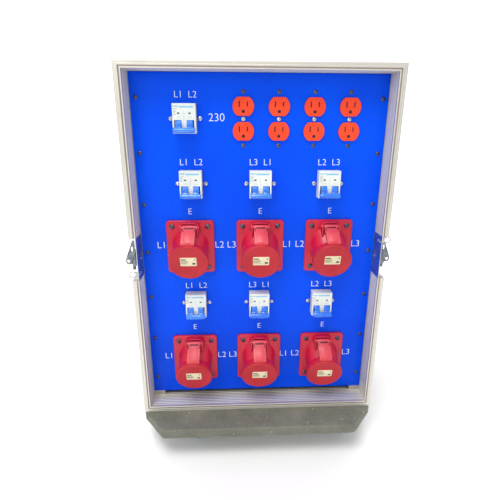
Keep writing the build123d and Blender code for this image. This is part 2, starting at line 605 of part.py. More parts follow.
with BuildPart() as breaker_screws:
    for x, z in BREAKER_SPOTS:
        for side in (-1, 1):
            dome_screw(x + side * BREAKER_SCREW_X, z, PANEL_Y, 3.6, 2.0, 2.0, 9.0)
            cuboid(x + side * BREAKER_SCREW_X - 4, x + side * BREAKER_SCREW_X + 4, PANEL_Y - 3,
                   PANEL_Y - 1.2, z - 0.5, z + 0.5, Mode.SUBTRACT)
breaker_screws.part.label = "breaker_screws"
export_step(breaker_screws.part, "parts/breaker_screws.step")

# ---------------------------------------------------------------- angled power sockets
EAR_IN = ARM_W / 2 + 0.5
EAR_T = 3.0
PIN_R = 1.5
HINGE_Y = PANEL_Y - HINGE_OUT
HOOD_OUT = 14.0
HOOD_LOW = 43.4
HOOD_HIGH = 45.6
# Side outline of an ear, as (out of the panel, height above the flange's middle)
EAR_OUTLINE = ((2, 10), (22, 10), (20, 36), (16, 43.5), (14, 45), (2, 45))
with BuildPart() as socket_bodies:
    for x, z in SOCKET_SPOTS:
        with BuildSketch(Plane.XZ.offset(-PANEL_Y)):
            with Locations((x, z)):
                RectangleRounded(FLANGE_W, FLANGE_H, FLANGE_CORNER_R)
        extrude(amount=FLANGE_T)
        with BuildSketch(barrel_plane(x, z, -BARREL_ROOT)):
            Circle(BARREL_R)
        extrude(amount=BARREL_LEN + BARREL_ROOT)
        for side in (-1, 1):
            with BuildSketch(Plane.YZ.offset(x + side * (EAR_IN + EAR_T / 2))):
                Polygon(*[(PANEL_Y - out, z + up) for out, up in EAR_OUTLINE], align=None)
            extrude(amount=EAR_T / 2, both=True)
        cuboid(x - EAR_IN - EAR_T, x + EAR_IN + EAR_T, PANEL_Y - HOOD_OUT, PANEL_Y - 2, z + HOOD_LOW,
               z + HOOD_HIGH)
        rod((x - 20, HINGE_Y, z + HINGE_UP), (x + 20, HINGE_Y, z + HINGE_UP), PIN_R + 0.05, Mode.SUBTRACT)
        with BuildSketch(barrel_plane(x, z, BARREL_LEN)):
            Circle(BARREL_BORE_R)
        extrude(amount=-BORE_DEPTH, mode=Mode.SUBTRACT)
        for across in (-1, 1):
            for up in (-1, 1):
                spot_x = x + across * SOCKET_HOLE_X / 2
                spot_z = z + up * SOCKET_HOLE_Z / 2
                rod((spot_x, PANEL_Y - FLANGE_T - 1, spot_z), (spot_x, PANEL_Y + 1, spot_z),
                    PANEL_HOLE_R, Mode.SUBTRACT)
socket_bodies.part.label = "socket_bodies"
export_step(socket_bodies.part, "parts/socket_bodies.step")

with BuildPart() as socket_inserts:
    for x, z in SOCKET_SPOTS:
        with BuildSketch(barrel_plane(x, z, BARREL_LEN - BORE_DEPTH)):
            Circle(CARRIER_R)
            with contact_ring():
                Circle(CONTACT_R + FIT_GAP / 4, mode=Mode.SUBTRACT)
        extrude(amount=CARRIER_LEN)
socket_inserts.part.label = "socket_inserts"
export_step(socket_inserts.part, "parts/socket_inserts.step")

with BuildPart() as socket_contacts:
    for x, z in SOCKET_SPOTS:
        with BuildSketch(barrel_plane(x, z, BARREL_LEN - BORE_DEPTH)):
            with contact_ring():
                Circle(CONTACT_R)
                Circle(CONTACT_R - CONTACT_T, mode=Mode.SUBTRACT)
        extrude(amount=CARRIER_LEN - 0.5)
socket_contacts.part.label = "socket_contacts"
export_step(socket_contacts.part, "parts/socket_contacts.step")

with BuildPart() as socket_screws:
    for x, z in SOCKET_SPOTS:
        for across in (-1, 1):
            for up in (-1, 1):
                dome_screw(x + across * SOCKET_HOLE_X / 2, z + up * SOCKET_HOLE_Z / 2,
                           PANEL_Y - FLANGE_T, 4.4, 2.4, 2.4, 14.0)
socket_screws.part.label = "socket_screws"
export_step(socket_screws.part, "parts/socket_screws.step")

# Side outline of an arm, as (out of the panel, height above the flange's middle)
ARM_OUTLINE = ((16.5, 40.0), (42.7, 21.0), (44.5, 16.2), (42.0, 15.5), (40.9, 17.4), (13.5, 36.0))
KNUCKLE_R = 4.0
for number, (x, z) in enumerate(SOCKET_SPOTS, start=1):
    hinge = (HINGE_Y, z + HINGE_UP)
    with BuildPart() as socket_lid:
        with BuildSketch(barrel_plane(x, z, BARREL_LEN + LID_GAP)):
            Circle(LID_R)
        extrude(amount=LID_T)
        with BuildSketch(Plane.YZ.offset(x)):
            Polygon(*[(PANEL_Y - out, z + up) for out, up in ARM_OUTLINE], align=None)
        extrude(amount=ARM_W / 2, both=True)
        rod((x - ARM_W / 2, *hinge), (x + ARM_W / 2, *hinge), KNUCKLE_R)
        rod((x - ARM_W, *hinge), (x + ARM_W, *hinge), PIN_R + 0.05, Mode.SUBTRACT)
        rod((x - EAR_IN - EAR_T, *hinge), (x + EAR_IN + EAR_T, *hinge), PIN_R)
    socket_lid.part.label = f"socket_lid_{number}"
    export_step(socket_lid.part, f"parts/socket_lid_{number}.step")

# ---------------------------------------------------------------- duplex receptacles
STRAP_W = 42.0
STRAP_HALF_H = 52.0
STRAP_T = 1.5
RECEPTACLE_PROUD = 3.0

with BuildPart() as receptacle_bodies:
    with BuildSketch(Plane.XZ.offset(-PANEL_BACK - STRAP_T)):
        with Locations(OUTLET_SPOTS):
            Circle(FACE_R)
        with Locations(OUTLET_ROWS):
            Rectangle(2 * HALF_W, 2 * FACE_HALF_H, mode=Mode.INTERSECT)
    extrude(amount=PANEL_T + STRAP_T + RECEPTACLE_PROUD)
    for x in RECEPTACLE_XS:
        cuboid(x - 17, x + 17, PANEL_BACK + STRAP_T, PANEL_BACK + 26, RECEPTACLE_Z - 35, RECEPTACLE_Z + 35)
        for up in (-1, 1):
            outlet_z = RECEPTACLE_Z + up * FACE_SPACING / 2
            front_y = PANEL_Y - RECEPTACLE_PROUD - 1
            slot_y = front_y + SLOT_DEPTH
            earth_z = outlet_z - EARTH_DROP
            cuboid(x - SLOT_OUT, x - SLOT_IN, front_y, slot_y, outlet_z - 1.0, outlet_z + 8.0,
                   Mode.SUBTRACT)
            cuboid(x + SLOT_IN, x + SLOT_OUT, front_y, slot_y, outlet_z - 0.2, outlet_z + 7.2,
                   Mode.SUBTRACT)
            rod((x, front_y, earth_z), (x, slot_y, earth_z), EARTH_R, Mode.SUBTRACT)
            cuboid(x - EARTH_R, x + EARTH_R, front_y, slot_y, outlet_z - EARTH_FLAT, earth_z,
                   Mode.SUBTRACT)
        rod((x, PANEL_BACK, RECEPTACLE_Z), (x, PANEL_BACK + 12, RECEPTACLE_Z), STRAP_HOLE_R,
            Mode.SUBTRACT)
receptacle_bodies.part.label = "receptacle_bodies"
export_step(receptacle_bodies.part, "parts/receptacle_bodies.step")

with BuildPart() as receptacle_straps:
    for x in RECEPTACLE_XS:
        cuboid(x - STRAP_W / 2, x + STRAP_W / 2, PANEL_BACK, PANEL_BACK + STRAP_T,
               RECEPTACLE_Z - STRAP_HALF_H, RECEPTACLE_Z + STRAP_HALF_H)
        for up in (-1, 1):
            with Locations((x, PANEL_BACK + STRAP_T / 2, RECEPTACLE_Z + up * FACE_SPACING / 2)):
                Box(2 * FACE_R + 2, STRAP_T * 2, 2 * FACE_HALF_H + 0.4, mode=Mode.SUBTRACT)
        for rise in (-STRAP_SCREW_Z, 0, STRAP_SCREW_Z):
            rod((x, PANEL_BACK - 1, RECEPTACLE_Z + rise), (x, PANEL_BACK + 4, RECEPTACLE_Z + rise),
                STRAP_HOLE_R, Mode.SUBTRACT)
receptacle_straps.part.label = "receptacle_straps"
export_step(receptacle_straps.part, "parts/receptacle_straps.step")

with BuildPart() as receptacle_screws:
    for x in RECEPTACLE_XS:
        for rise in (-STRAP_SCREW_Z, 0, STRAP_SCREW_Z):
            dome_screw(x, RECEPTACLE_Z + rise, PANEL_Y, 3.4, 1.8, 1.75, 10.0)
receptacle_screws.part.label = "receptacle_screws"
export_step(receptacle_screws.part, "parts/receptacle_screws.step")

# ---------------------------------------------------------------- supply inlet at the back
INLET_FACE = HALF_D - SKIN
INLET_LEN = 27.0
INLET_ROOT = 30.0
INLET_BORE = 20.0
PIN_LEN = 32.0
INLET_HINGE_Z = INLET_Z + 38.0
with BuildPart() as inlet_body:
    with BuildSketch(Plane.XZ.offset(-INLET_FACE)):
        with Locations((0, INLET_Z)):
            RectangleRounded(FLANGE_W, FLANGE_H, FLANGE_CORNER_R)
    extrude(amount=-FLANGE_T)
    rod((0, INLET_FACE - INLET_ROOT, INLET_Z), (0, INLET_FACE + INLET_LEN, INLET_Z), BARREL_R)
    rod((0, INLET_FACE - INLET_BORE, INLET_Z), (0, INLET_FACE + INLET_LEN + 1, INLET_Z), BARREL_BORE_R,
        Mode.SUBTRACT)
    for side in (-1, 1):
        side_cuboid(side, EAR_IN, EAR_IN + EAR_T, INLET_FACE + 2, INLET_FACE + INLET_LEN, INLET_Z + 26,
                    INLET_HINGE_Z + 4)
        side_cuboid(side, EAR_IN, EAR_IN + EAR_T, INLET_FACE + 2, INLET_FACE + INLET_LEN + 4,
                    INLET_HINGE_Z - 4, INLET_HINGE_Z + 4)
    rod((-20, INLET_FACE + INLET_LEN, INLET_HINGE_Z), (20, INLET_FACE + INLET_LEN, INLET_HINGE_Z),
        PIN_R + 0.05, Mode.SUBTRACT)
inlet_body.part.label = "inlet_body"
export_step(inlet_body.part, "parts/inlet_body.step")

with BuildPart() as inlet_pins:
    with BuildSketch(Plane.XZ.offset(-INLET_FACE + INLET_BORE)):
        with Locations((0, INLET_Z)):
            with contact_ring():
                Circle(CONTACT_R)
    extrude(amount=-PIN_LEN)
inlet_pins.part.label = "inlet_pins"
export_step(inlet_pins.part, "parts/inlet_pins.step")

INLET_LID_Y = INLET_FACE + INLET_LEN + LID_GAP
INLET_HINGE = (INLET_FACE + INLET_LEN, INLET_HINGE_Z)
with BuildPart() as inlet_lid:
    rod((0, INLET_LID_Y, INLET_Z), (0, INLET_LID_Y + 6, INLET_Z), LID_R)
    cuboid(-ARM_W / 2, ARM_W / 2, INLET_LID_Y, INLET_LID_Y + 4, INLET_Z + 24, INLET_HINGE_Z)
    rod((-ARM_W / 2, *INLET_HINGE), (ARM_W / 2, *INLET_HINGE), 3.6)
    rod((-ARM_W, *INLET_HINGE), (ARM_W, *INLET_HINGE), PIN_R + 0.05, Mode.SUBTRACT)
    rod((-EAR_IN - EAR_T, *INLET_HINGE), (EAR_IN + EAR_T, *INLET_HINGE), PIN_R)
inlet_lid.part.label = "inlet_lid"
export_step(inlet_lid.part, "parts/inlet_lid.step")

# ---------------------------------------------------------------- inner distribution
TERMINAL_Z = 300.0
BACK_INNER = HALF_D - SKIN - PLY
TERMINAL_WAYS = 5
TERMINAL_PITCH = 36.0
TERMINAL_HALF_H = 34.0
WAY_HALF_W = 13.0
BUS_HALF_W = 8.0
BUS_HALF_H = 46.0
BUS_BACK = BACK_INNER - 12.0
BUS_T = 4.0
BUS_SCREW_R = 4.0
with BuildPart() as terminal_block:
    cuboid(-90, 90, BACK_INNER - 30, BACK_INNER, TERMINAL_Z - TERMINAL_HALF_H,
           TERMINAL_Z + TERMINAL_HALF_H)
    for way in range(TERMINAL_WAYS):
        way_x = TERMINAL_PITCH * (way - TERMINAL_WAYS // 2)
        cuboid(way_x - WAY_HALF_W, way_x + WAY_HALF_W, BACK_INNER - 31, BUS_BACK,
               TERMINAL_Z - TERMINAL_HALF_H - 1, TERMINAL_Z + TERMINAL_HALF_H + 1, Mode.SUBTRACT)
terminal_block.part.label = "terminal_block"
export_step(terminal_block.part, "parts/terminal_block.step")

with BuildPart() as busbars:
    for way in range(TERMINAL_WAYS):
        way_x = TERMINAL_PITCH * (way - TERMINAL_WAYS // 2)
        cuboid(way_x - BUS_HALF_W, way_x + BUS_HALF_W, BUS_BACK - BUS_T, BUS_BACK,
               TERMINAL_Z - BUS_HALF_H, TERMINAL_Z + BUS_HALF_H)
        for up in (-36, -18, 0, 18, 36):
            rod((way_x, BUS_BACK - BUS_T - 0.1, TERMINAL_Z + up), (way_x, BUS_BACK - 10, TERMINAL_Z + up),
                BUS_SCREW_R)
busbars.part.label = "busbars"
export_step(busbars.part, "parts/busbars.step")

# ---------------------------------------------------------------- wheel base and casters
BASE_LOW = BASE_TOP - BASE_T
with BuildPart() as wheel_base:
    with BuildSketch(Plane.XY.offset(BASE_LOW)):
        with BuildLine():
            x_in = HALF_W + 1 - BASE_CHAMFER_X
            y_in = BASE_FRONT - BASE_CHAMFER_Y
            Polyline((-x_in, -BASE_FRONT), (x_in, -BASE_FRONT), (HALF_W + 1, -y_in), (HALF_W + 1, y_in),
                     (x_in, BASE_FRONT), (-x_in, BASE_FRONT), (-HALF_W - 1, y_in), (-HALF_W - 1, -y_in),
                     close=True)
        make_face()
        fillet(vertices(), BASE_CORNER_R)
    extrude(amount=BASE_T)
    fillet(faces().sort_by(Axis.Z)[-1].edges(), 3)
    fillet(faces().sort_by(Axis.Z)[0].edges(), 2)
wheel_base.part.label = "wheel_base"
export_step(wheel_base.part, "parts/wheel_base.step")

PLATE_SIZE = 58.0
PLATE_T = 2.5
RACE_R = 17.0
CROWN_TOP = 43.0
CROWN_T = 3.0
FORK_T = 2.0
AXLE_R = 3.0
KINGPIN_R = 4.0
with BuildPart() as caster_plates:
    for x, y in CASTER_SPOTS.values():
        cuboid(x - PLATE_SIZE / 2, x + PLATE_SIZE / 2, y - PLATE_SIZE / 2, y + PLATE_SIZE / 2,
               BASE_LOW - PLATE_T, BASE_LOW)
        rod((x, y, CROWN_TOP + 0.3), (x, y, BASE_LOW - PLATE_T), RACE_R)
        rod((x, y, CROWN_TOP), (x, y, BASE_LOW - 0.5), KINGPIN_R + 0.05, Mode.SUBTRACT)
        for across in (-22, 22):
            for along in (-22, 22):
                rod((x + across, y + along, BASE_LOW - PLATE_T - 3),
                    (x + across, y + along, BASE_LOW - PLATE_T), 4.2)
caster_plates.part.label = "caster_plates"
export_step(caster_plates.part, "parts/caster_plates.step")

for spot_name, (x, y) in CASTER_SPOTS.items():
    axle = (x + CASTER_TRAIL, y, WHEEL_R)
    leg_y = WHEEL_W / 2 + 1 + FORK_T / 2
    axle_half = leg_y + FORK_T / 2 + 1.5
    with BuildPart() as caster_fork:
        rod((x, y, CROWN_TOP - CROWN_T), (x, y, CROWN_TOP), RACE_R - 1)
        rod((x, y, CROWN_TOP - 0.5), (x, y, BASE_LOW - 1), KINGPIN_R)
        cuboid(x, x + 24, y - leg_y - FORK_T / 2, y + leg_y + FORK_T / 2, CROWN_TOP - CROWN_T, CROWN_TOP)
        for end in (-1, 1):
            with BuildSketch(Plane.XZ.offset(-(y + end * leg_y))):
                Polygon((x - 9, CROWN_TOP), (x + 24, CROWN_TOP), (axle[0] + 7, axle[2] - 2),
                        (axle[0] + 3, axle[2] - 6), (axle[0] - 4, axle[2] - 5.5), align=None)
            extrude(amount=FORK_T / 2, both=True)
            rod((axle[0], y + end * (leg_y - 3), axle[2]), (axle[0], y + end * (leg_y + 3), axle[2]),
                AXLE_R + 0.05, Mode.SUBTRACT)
        rod((axle[0], y - axle_half, axle[2]), (axle[0], y + axle_half, axle[2]), AXLE_R)
    caster_fork.part.label = f"caster_fork_{spot_name}"
    export_step(caster_fork.part, f"parts/caster_fork_{spot_name}.step")

    with BuildPart() as caster_wheel:
        with BuildSketch(Plane.XZ.offset(-y - WHEEL_W / 2)):
            with Locations((axle[0], axle[2])):
                Circle(WHEEL_R)
                Circle(AXLE_R + 0.05, mode=Mode.SUBTRACT)
        extrude(amount=WHEEL_W)
        fillet(edges().filter_by(GeomType.CIRCLE).group_by(SortBy.RADIUS)[-1], 2.5)
    caster_wheel.part.label = f"caster_wheel_{spot_name}"
    export_step(caster_wheel.part, f"parts/caster_wheel_{spot_name}.step")
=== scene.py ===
"""Looks of the portable power distribution cabinet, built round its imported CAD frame.

The row frame is in metres: +Z up, the front faces -Y, and the origin is on the floor.
A piece is drawn in millimetres in a local frame (x right, y up, z out of its face),
and the matrix that places it also turns millimetres into metres.
"""
import json
import math

import bmesh
import bpy
from mathutils import Matrix, Vector


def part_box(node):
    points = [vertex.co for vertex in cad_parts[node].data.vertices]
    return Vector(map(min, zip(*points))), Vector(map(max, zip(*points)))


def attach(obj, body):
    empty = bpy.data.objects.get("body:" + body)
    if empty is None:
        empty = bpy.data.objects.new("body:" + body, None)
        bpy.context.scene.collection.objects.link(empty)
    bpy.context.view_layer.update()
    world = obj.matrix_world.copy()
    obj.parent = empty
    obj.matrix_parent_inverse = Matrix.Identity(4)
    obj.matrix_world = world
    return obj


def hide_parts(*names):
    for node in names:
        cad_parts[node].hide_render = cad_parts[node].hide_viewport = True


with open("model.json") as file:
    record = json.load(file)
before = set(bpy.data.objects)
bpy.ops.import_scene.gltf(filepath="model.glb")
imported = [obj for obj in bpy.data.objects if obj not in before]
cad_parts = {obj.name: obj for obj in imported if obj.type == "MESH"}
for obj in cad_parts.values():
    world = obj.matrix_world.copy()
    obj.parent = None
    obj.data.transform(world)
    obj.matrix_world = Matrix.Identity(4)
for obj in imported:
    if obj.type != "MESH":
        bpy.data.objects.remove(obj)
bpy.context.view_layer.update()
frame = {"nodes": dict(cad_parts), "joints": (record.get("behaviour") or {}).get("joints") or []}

MM = 0.001
JOINTS = {joint["name"]: joint for joint in frame["joints"]}


# ---------------------------------------------------------------- places read from the frame
def at(name):
    """Point that a joint turns about, in the row frame."""
    return Vector(JOINTS[name]["pos_m"])


def place(origin, right, up=(0, 0, 1)):
    """Matrix from a local frame in millimetres to the row frame in metres."""
    right, up = Vector(right), Vector(up)
    turn = Matrix((right, up, right.cross(up))).transposed().to_4x4()
    return Matrix.Translation(origin) @ turn @ Matrix.Scale(MM, 4)


def on_front(x, y, z):
    """Local frame on a face that looks out of the front, at a point in metres."""
    return place((x, y, z), (1, 0, 0))


PANEL_LOW, PANEL_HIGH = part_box("front_panel")
PANEL_Y = PANEL_LOW.y
PANEL_DOWN = 290.5
PANEL_MID_Z = PANEL_LOW.z + PANEL_DOWN * MM

# Distances from the hinge and pivot points to the middle of what they carry
HINGE_OUT = 15.0
HINGE_UP = 38.0
TOGGLE_DROP = 9.0
TOGGLE_SINK = 3.0

SOCKETS = {n: at(f"lid_{n}_hinge") + Vector((0, HINGE_OUT, -HINGE_UP)) * MM for n in range(1, 7)}
BREAKERS = {n: at(f"toggle_{n}_throw") + Vector((0, -TOGGLE_SINK, TOGGLE_DROP)) * MM for n in range(1, 8)}
CASTERS = ("front_left", "front_right", "rear_left", "rear_right")


# ---------------------------------------------------------------- mesh work, in millimetres
def rounded(bm, edge, rings):
    """Turn a small closed mesh into mesh data, with every sharp edge rounded."""
    bmesh.ops.recalc_face_normals(bm, faces=bm.faces)
    if edge:
        sharp = [e for e in bm.edges if e.is_manifold and e.calc_face_angle() > math.radians(28)]
        bmesh.ops.bevel(bm, geom=sharp, offset=edge, segments=rings, profile=0.5, affect="EDGES",
                        clamp_overlap=True)
    mesh = bpy.data.meshes.new("solid")
    bm.to_mesh(mesh)
    bm.free()
    return mesh


def prism(outline, low, high, edge=0.4, rings=2):
    """Solid over a closed outline, from one height to another."""
    bm = bmesh.new()
    floor = [bm.verts.new((x, y, low)) for x, y in outline]
    roof = [bm.verts.new((x, y, high)) for x, y in outline]
    bm.faces.new(floor[::-1])
    bm.faces.new(roof)
    for k in range(len(outline)):
        bm.faces.new((floor[k - 1], floor[k], roof[k], roof[k - 1]))
    return rounded(bm, edge, rings)


def lathe(profile, edge=0.4, rings=2, turns=64):
    """Solid of revolution about local z, from (radius, height) points."""
    bm = bmesh.new()
    angles = [2 * math.pi * k / turns for k in range(turns)]
    loops = [
        [bm.verts.new((0, 0, height))] if radius == 0
        else [bm.verts.new((radius * math.cos(a), radius * math.sin(a), height)) for a in angles]
        for radius, height in profile
    ]
    pairs = list(zip(loops, loops[1:]))
    if profile[0][0] and profile[-1][0]:
        pairs.append((loops[-1], loops[0]))
    for near, far in pairs:
        for k in range(turns):
            corners = [near[k % len(near)], near[(k + 1) % turns % len(near)],
                       far[(k + 1) % turns % len(far)], far[k % len(far)]]
            bm.faces.new(list(dict.fromkeys(corners)))
    return rounded(bm, edge, rings)


def letters(words, height, thick=0.14):
    """Flat raised lettering, centred, with capitals of the given height."""
    curve = bpy.data.curves.new("letters", "FONT")
    curve.body = words
    curve.align_x = "CENTER"
    curve.align_y = "CENTER"
    curve.size = height / 0.7
    curve.extrude = thick / 2
    curve.offset = -0.014 * curve.size
    curve.resolution_u = 5
    holder = bpy.data.objects.new("letters", curve)
    mesh = bpy.data.meshes.new_from_object(holder)
    bpy.data.objects.remove(holder)
    return mesh


def box_outline(width, height, radius=0.0, steps=5, x=0.0, y=0.0):
    """Rectangle about (x, y), with round corners if a radius is given."""
    w, h = width / 2, height / 2
    if not radius:
        return [(x - w, y - h), (x + w, y - h), (x + w, y + h), (x - w, y + h)]
    points = []
    for quarter, (cx, cy) in enumerate(((w, h), (-w, h), (-w, -h), (w, -h))):
        corner_x = x + cx - math.copysign(radius, cx)
        corner_y = y + cy - math.copysign(radius, cy)
        for k in range(steps + 1):
            a = math.pi / 2 * (quarter + k / steps)
            points.append((corner_x + radius * math.cos(a), corner_y + radius * math.sin(a)))
    return points


def arc(radius, start, end, steps, x=0.0, y=0.0):
    """Points round part of a circle, with its angles in degrees."""
    return [
        (x + radius * math.cos(math.radians(start + (end - start) * k / steps)),
         y + radius * math.sin(math.radians(start + (end - start) * k / steps)))
        for k in range(steps + 1)
    ]


def slab(width, height, low, high, radius=0.0, edge=0.4, x=0.0, y=0.0, rings=2):
    """Block with round corners, standing on its face."""
    return prism(box_outline(width, height, radius, x=x, y=y), low, high, edge, rings)


def build(name, solids, material, body, slot, *nodes, crease=35):
    """Join (mesh, matrix) pairs into one piece that rides on a body and stands for CAD nodes."""
    bm = bmesh.new()
    for mesh, where in solids:
        copy = mesh.copy()
        copy.transform(where)
        bm.from_mesh(copy)
        bpy.data.meshes.remove(copy)
    mesh = bpy.data.meshes.new(name)
    bm.to_mesh(mesh)
    bm.free()
    mesh.shade_smooth()
    mesh.set_sharp_from_angle(angle=math.radians(crease))
    mesh.materials.append(material)
    piece = bpy.data.objects.new(name, mesh)
    bpy.context.scene.collection.objects.link(piece)
    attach(piece, body)
    if nodes:
        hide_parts(*nodes)
    return piece


def dress(node, material, edge=0.0):
    """Give a CAD node its material, and round its sharp edges with modifiers."""
    part = frame["nodes"][node]
    if not part.material_slots:
        part.data.materials.append(material)
    for slot in part.material_slots:
        slot.material = material
    if edge:
        weld = part.modifiers.new("weld", "WELD")
        weld.merge_threshold = 2e-6
        flat = part.modifiers.new("flat", "DECIMATE")
        flat.decimate_type = "DISSOLVE"
        flat.angle_limit = math.radians(0.6)
        bevel = part.modifiers.new("edge", "BEVEL")
        bevel.width = edge * MM
        bevel.segments = 2
        bevel.limit_method = "ANGLE"
        bevel.angle_limit = math.radians(32)
        part.modifiers.new("shade", "WEIGHTED_NORMAL")


# ---------------------------------------------------------------- materials
def srgb(red, green, blue):
    """Colour as a person reads it, 0 to 255, in the light that the shader works with."""
    def light(value):
        value /= 255
        return value / 12.92 if value <= 0.04045 else ((value + 0.055) / 1.055) ** 2.4
    return (light(red), light(green), light(blue), 1.0)


class Look:
    """Node tree of one material, in object coordinates, which are the row frame in metres."""

    def __init__(self, name, **sockets):
        self.material = bpy.data.materials.new(name)
        self.material.use_nodes = True
        self.nodes = self.material.node_tree.nodes
        self.links = self.material.node_tree.links
        self.shader = self.nodes["Principled BSDF"]
        for socket, value in sockets.items():
            self.shader.inputs[socket.replace("_", " ")].default_value = value
        self.place = self.nodes.new("ShaderNodeTexCoord").outputs["Object"]

    def feed(self, node, socket, value):
        """Connect an output to a socket, or set the socket's own value."""
        if isinstance(value, bpy.types.NodeSocket):
            self.links.new(value, node.inputs[socket])
        elif value is not None:
            node.inputs[socket].default_value = value

    def stretched(self, stretch):
        """Coordinates that are squeezed along some axes, for streaks."""
        node = self.nodes.new("ShaderNodeMapping")
        self.feed(node, "Vector", self.place)
        self.feed(node, "Scale", stretch)
        return node.outputs["Vector"]

    def noise(self, scale, detail=3.0, roughness=0.55, stretch=None, distortion=0.0):
        """Cloudy pattern, with its scale in cycles per metre."""
        node = self.nodes.new("ShaderNodeTexNoise")
        self.feed(node, "Vector", self.stretched(stretch) if stretch else self.place)
        for socket, value in (("Scale", scale), ("Detail", detail), ("Roughness", roughness),
                              ("Distortion", distortion)):
            self.feed(node, socket, value)
        return node.outputs["Fac"]

    def cells(self, scale, feature="F1", randomness=1.0):
        """Distance to the nearest of many scattered points."""
        node = self.nodes.new("ShaderNodeTexVoronoi")
        node.feature = feature
        self.feed(node, "Vector", self.place)
        self.feed(node, "Scale", scale)
        self.feed(node, "Randomness", randomness)
        return node.outputs["Distance"]

    def axis(self, name):
        """One coordinate of the row frame, in metres."""
        node = self.nodes.new("ShaderNodeSeparateXYZ")
        self.feed(node, "Vector", self.place)
        return node.outputs[name]

    def span(self, value, low, high, low_out=0.0, high_out=1.0):
        """Map a value from one range to another, held at the ends."""
        node = self.nodes.new("ShaderNodeMapRange")
        for socket, number in (("Value", value), ("From Min", low), ("From Max", high),
                               ("To Min", low_out), ("To Max", high_out)):
            self.feed(node, socket, number)
        return node.outputs["Result"]

    def math(self, operation, first, second=None):
        """One arithmetic step."""
        node = self.nodes.new("ShaderNodeMath")
        node.operation = operation
        self.feed(node, 0, first)
        self.feed(node, 1, second)
        return node.outputs[0]

    def mix(self, factor, first, second, blend="MIX"):
        """Blend two colours."""
        node = self.nodes.new("ShaderNodeMix")
        node.data_type = "RGBA"
        node.blend_type = blend
        self.feed(node, "Factor", factor)
        for socket, value in ((6, first), (7, second)):
            self.feed(node, socket, value)
        return node.outputs[2]

    def colour(self, value):
        self.feed(self.shader, "Base Color", value)

    def rough(self, value):
        self.feed(self.shader, "Roughness", value)

    def relief(self, height, depth):
        """Surface relief, with its depth in millimetres."""
        node = self.nodes.new("ShaderNodeBump")
        self.feed(node, "Height", height)
        self.feed(node, "Distance", depth * MM)
        previous = self.shader.inputs["Normal"]
        if previous.is_linked:
            self.feed(node, "Normal", previous.links[0].from_socket)
        self.feed(self.shader, "Normal", node.outputs["Normal"])


def moulded(name, base, shade, rough, grain=1600, depth=0.02, coat=0.0, dust=0.12, specular=0.5):
    """Moulded plastic: slight colour drift, fine spark texture, dull patches and light dust."""
    look = Look(name, Coat_Weight=coat, Coat_Roughness=0.12, IOR=1.5, Specular_IOR_Level=specular)
    drift = look.span(look.noise(28, 4), 0.3, 0.7)
    tint = look.mix(drift, shade, base)
    specks = look.span(look.noise(900, 2), 0.62, 0.78, 0, dust)
    look.colour(look.mix(specks, tint, srgb(225, 215, 205)))
    look.rough(look.span(look.noise(60, 5, 0.6), 0.3, 0.7, rough - 0.06, rough + 0.08))
    look.relief(look.noise(grain, 3), depth)
    return look.material


def metal(name, base, shade, rough, stretch=(1, 1, 1), streak=900, depth=0.01, grime=0.25):
    """Bare metal: drawn or rolled streaks, a drifting tone, and grime in cloudy patches."""
    look = Look(name, Metallic=1.0)
    streaks = look.noise(streak, 4, 0.6, stretch=stretch)
    tone = look.mix(look.span(streaks, 0.35, 0.65), shade, base)
    patches = look.span(look.noise(35, 5, 0.6), 0.5, 0.75, 0, grime)
    look.colour(look.mix(patches, tone, srgb(120, 112, 100)))
    look.rough(look.span(look.noise(90, 5, 0.65), 0.3, 0.7, rough - 0.08, rough + 0.12))
    look.relief(streaks, depth)
    return look.material


def panel_paint():
    """Blue enamel on steel sheet: faint orange peel, slow colour drift, a few fine scuffs, and painted shade
    that darkens its lowest part.
    """
    look = Look("panel_paint", Specular_IOR_Level=0.1)
    height = look.span(look.axis("Z"), PANEL_LOW.z, PANEL_HIGH.z)
    drift = look.span(look.noise(5.5, 3, 0.5), 0.3, 0.7)
    tone = look.mix(drift, srgb(0, 72, 232), srgb(0, 86, 250))
    # painted shade: the blue is blended towards a darker blue over the lowest 30 % of the panel's height
    tone = look.mix(look.span(height, 0, 0.3, 0.35, 0), tone, srgb(0, 54, 196))
    scuffs = look.span(look.noise(240, 6, 0.7, stretch=(1, 1, 0.08)), 0.72, 0.80, 0, 0.12)
    look.colour(look.mix(scuffs, tone, srgb(120, 160, 240)))
    look.rough(look.span(look.noise(14, 5, 0.6), 0.3, 0.75, 0.24, 0.38))
    look.relief(look.noise(420, 2), 0.04)
    return look.material


def frame_metal(name, stretch):
    """Extruded aluminium: drawn lines along the bar, dull patches, and a darker pinkish-brown tint in the
    groove.
    """
    look = Look(name, Metallic=0.55)
    lines = look.noise(900, 2, 0.5, stretch=stretch)
    tone = look.mix(look.span(lines, 0.3, 0.7), srgb(204, 200, 190), srgb(230, 226, 217))
    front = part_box("frame_top")[0].y
    depth = look.axis("Y")
    # the groove along the front face is tinted a darker pinkish brown
    groove = look.math("MULTIPLY", look.span(depth, front + 1.2 * MM, front + 2.2 * MM),
                       look.span(depth, front + 3.4 * MM, front + 4.0 * MM, 1, 0))
    tone = look.mix(look.math("MULTIPLY", groove, 0.55), tone, srgb(168, 140, 136))
    stains = look.span(look.noise(26, 5, 0.6), 0.56, 0.76, 0, 0.22)
    look.colour(look.mix(stains, tone, srgb(172, 165, 148)))
    look.rough(look.span(look.noise(60, 4, 0.6), 0.3, 0.7, 0.36, 0.50))
    look.relief(lines, 0.002)
    return look.material


def laminate():
    """Black laminated plywood: pebble grain, rubbed pale here and there by handling."""
    look = Look("case_laminate", Specular_IOR_Level=0.4)
    pebbles = look.cells(620, "SMOOTH_F1")
    wear = look.span(look.noise(9, 8, 0.72), 0.58, 0.80, 0, 0.22)
    tone = look.mix(look.span(look.noise(3.5, 3), 0.3, 0.7), srgb(22, 22, 24), srgb(36, 36, 38))
    look.colour(look.mix(wear, tone, srgb(78, 76, 74)))
    look.rough(look.span(look.noise(40, 4), 0.3, 0.7, 0.42, 0.62))
    look.relief(pebbles, 0.25)
    return look.material


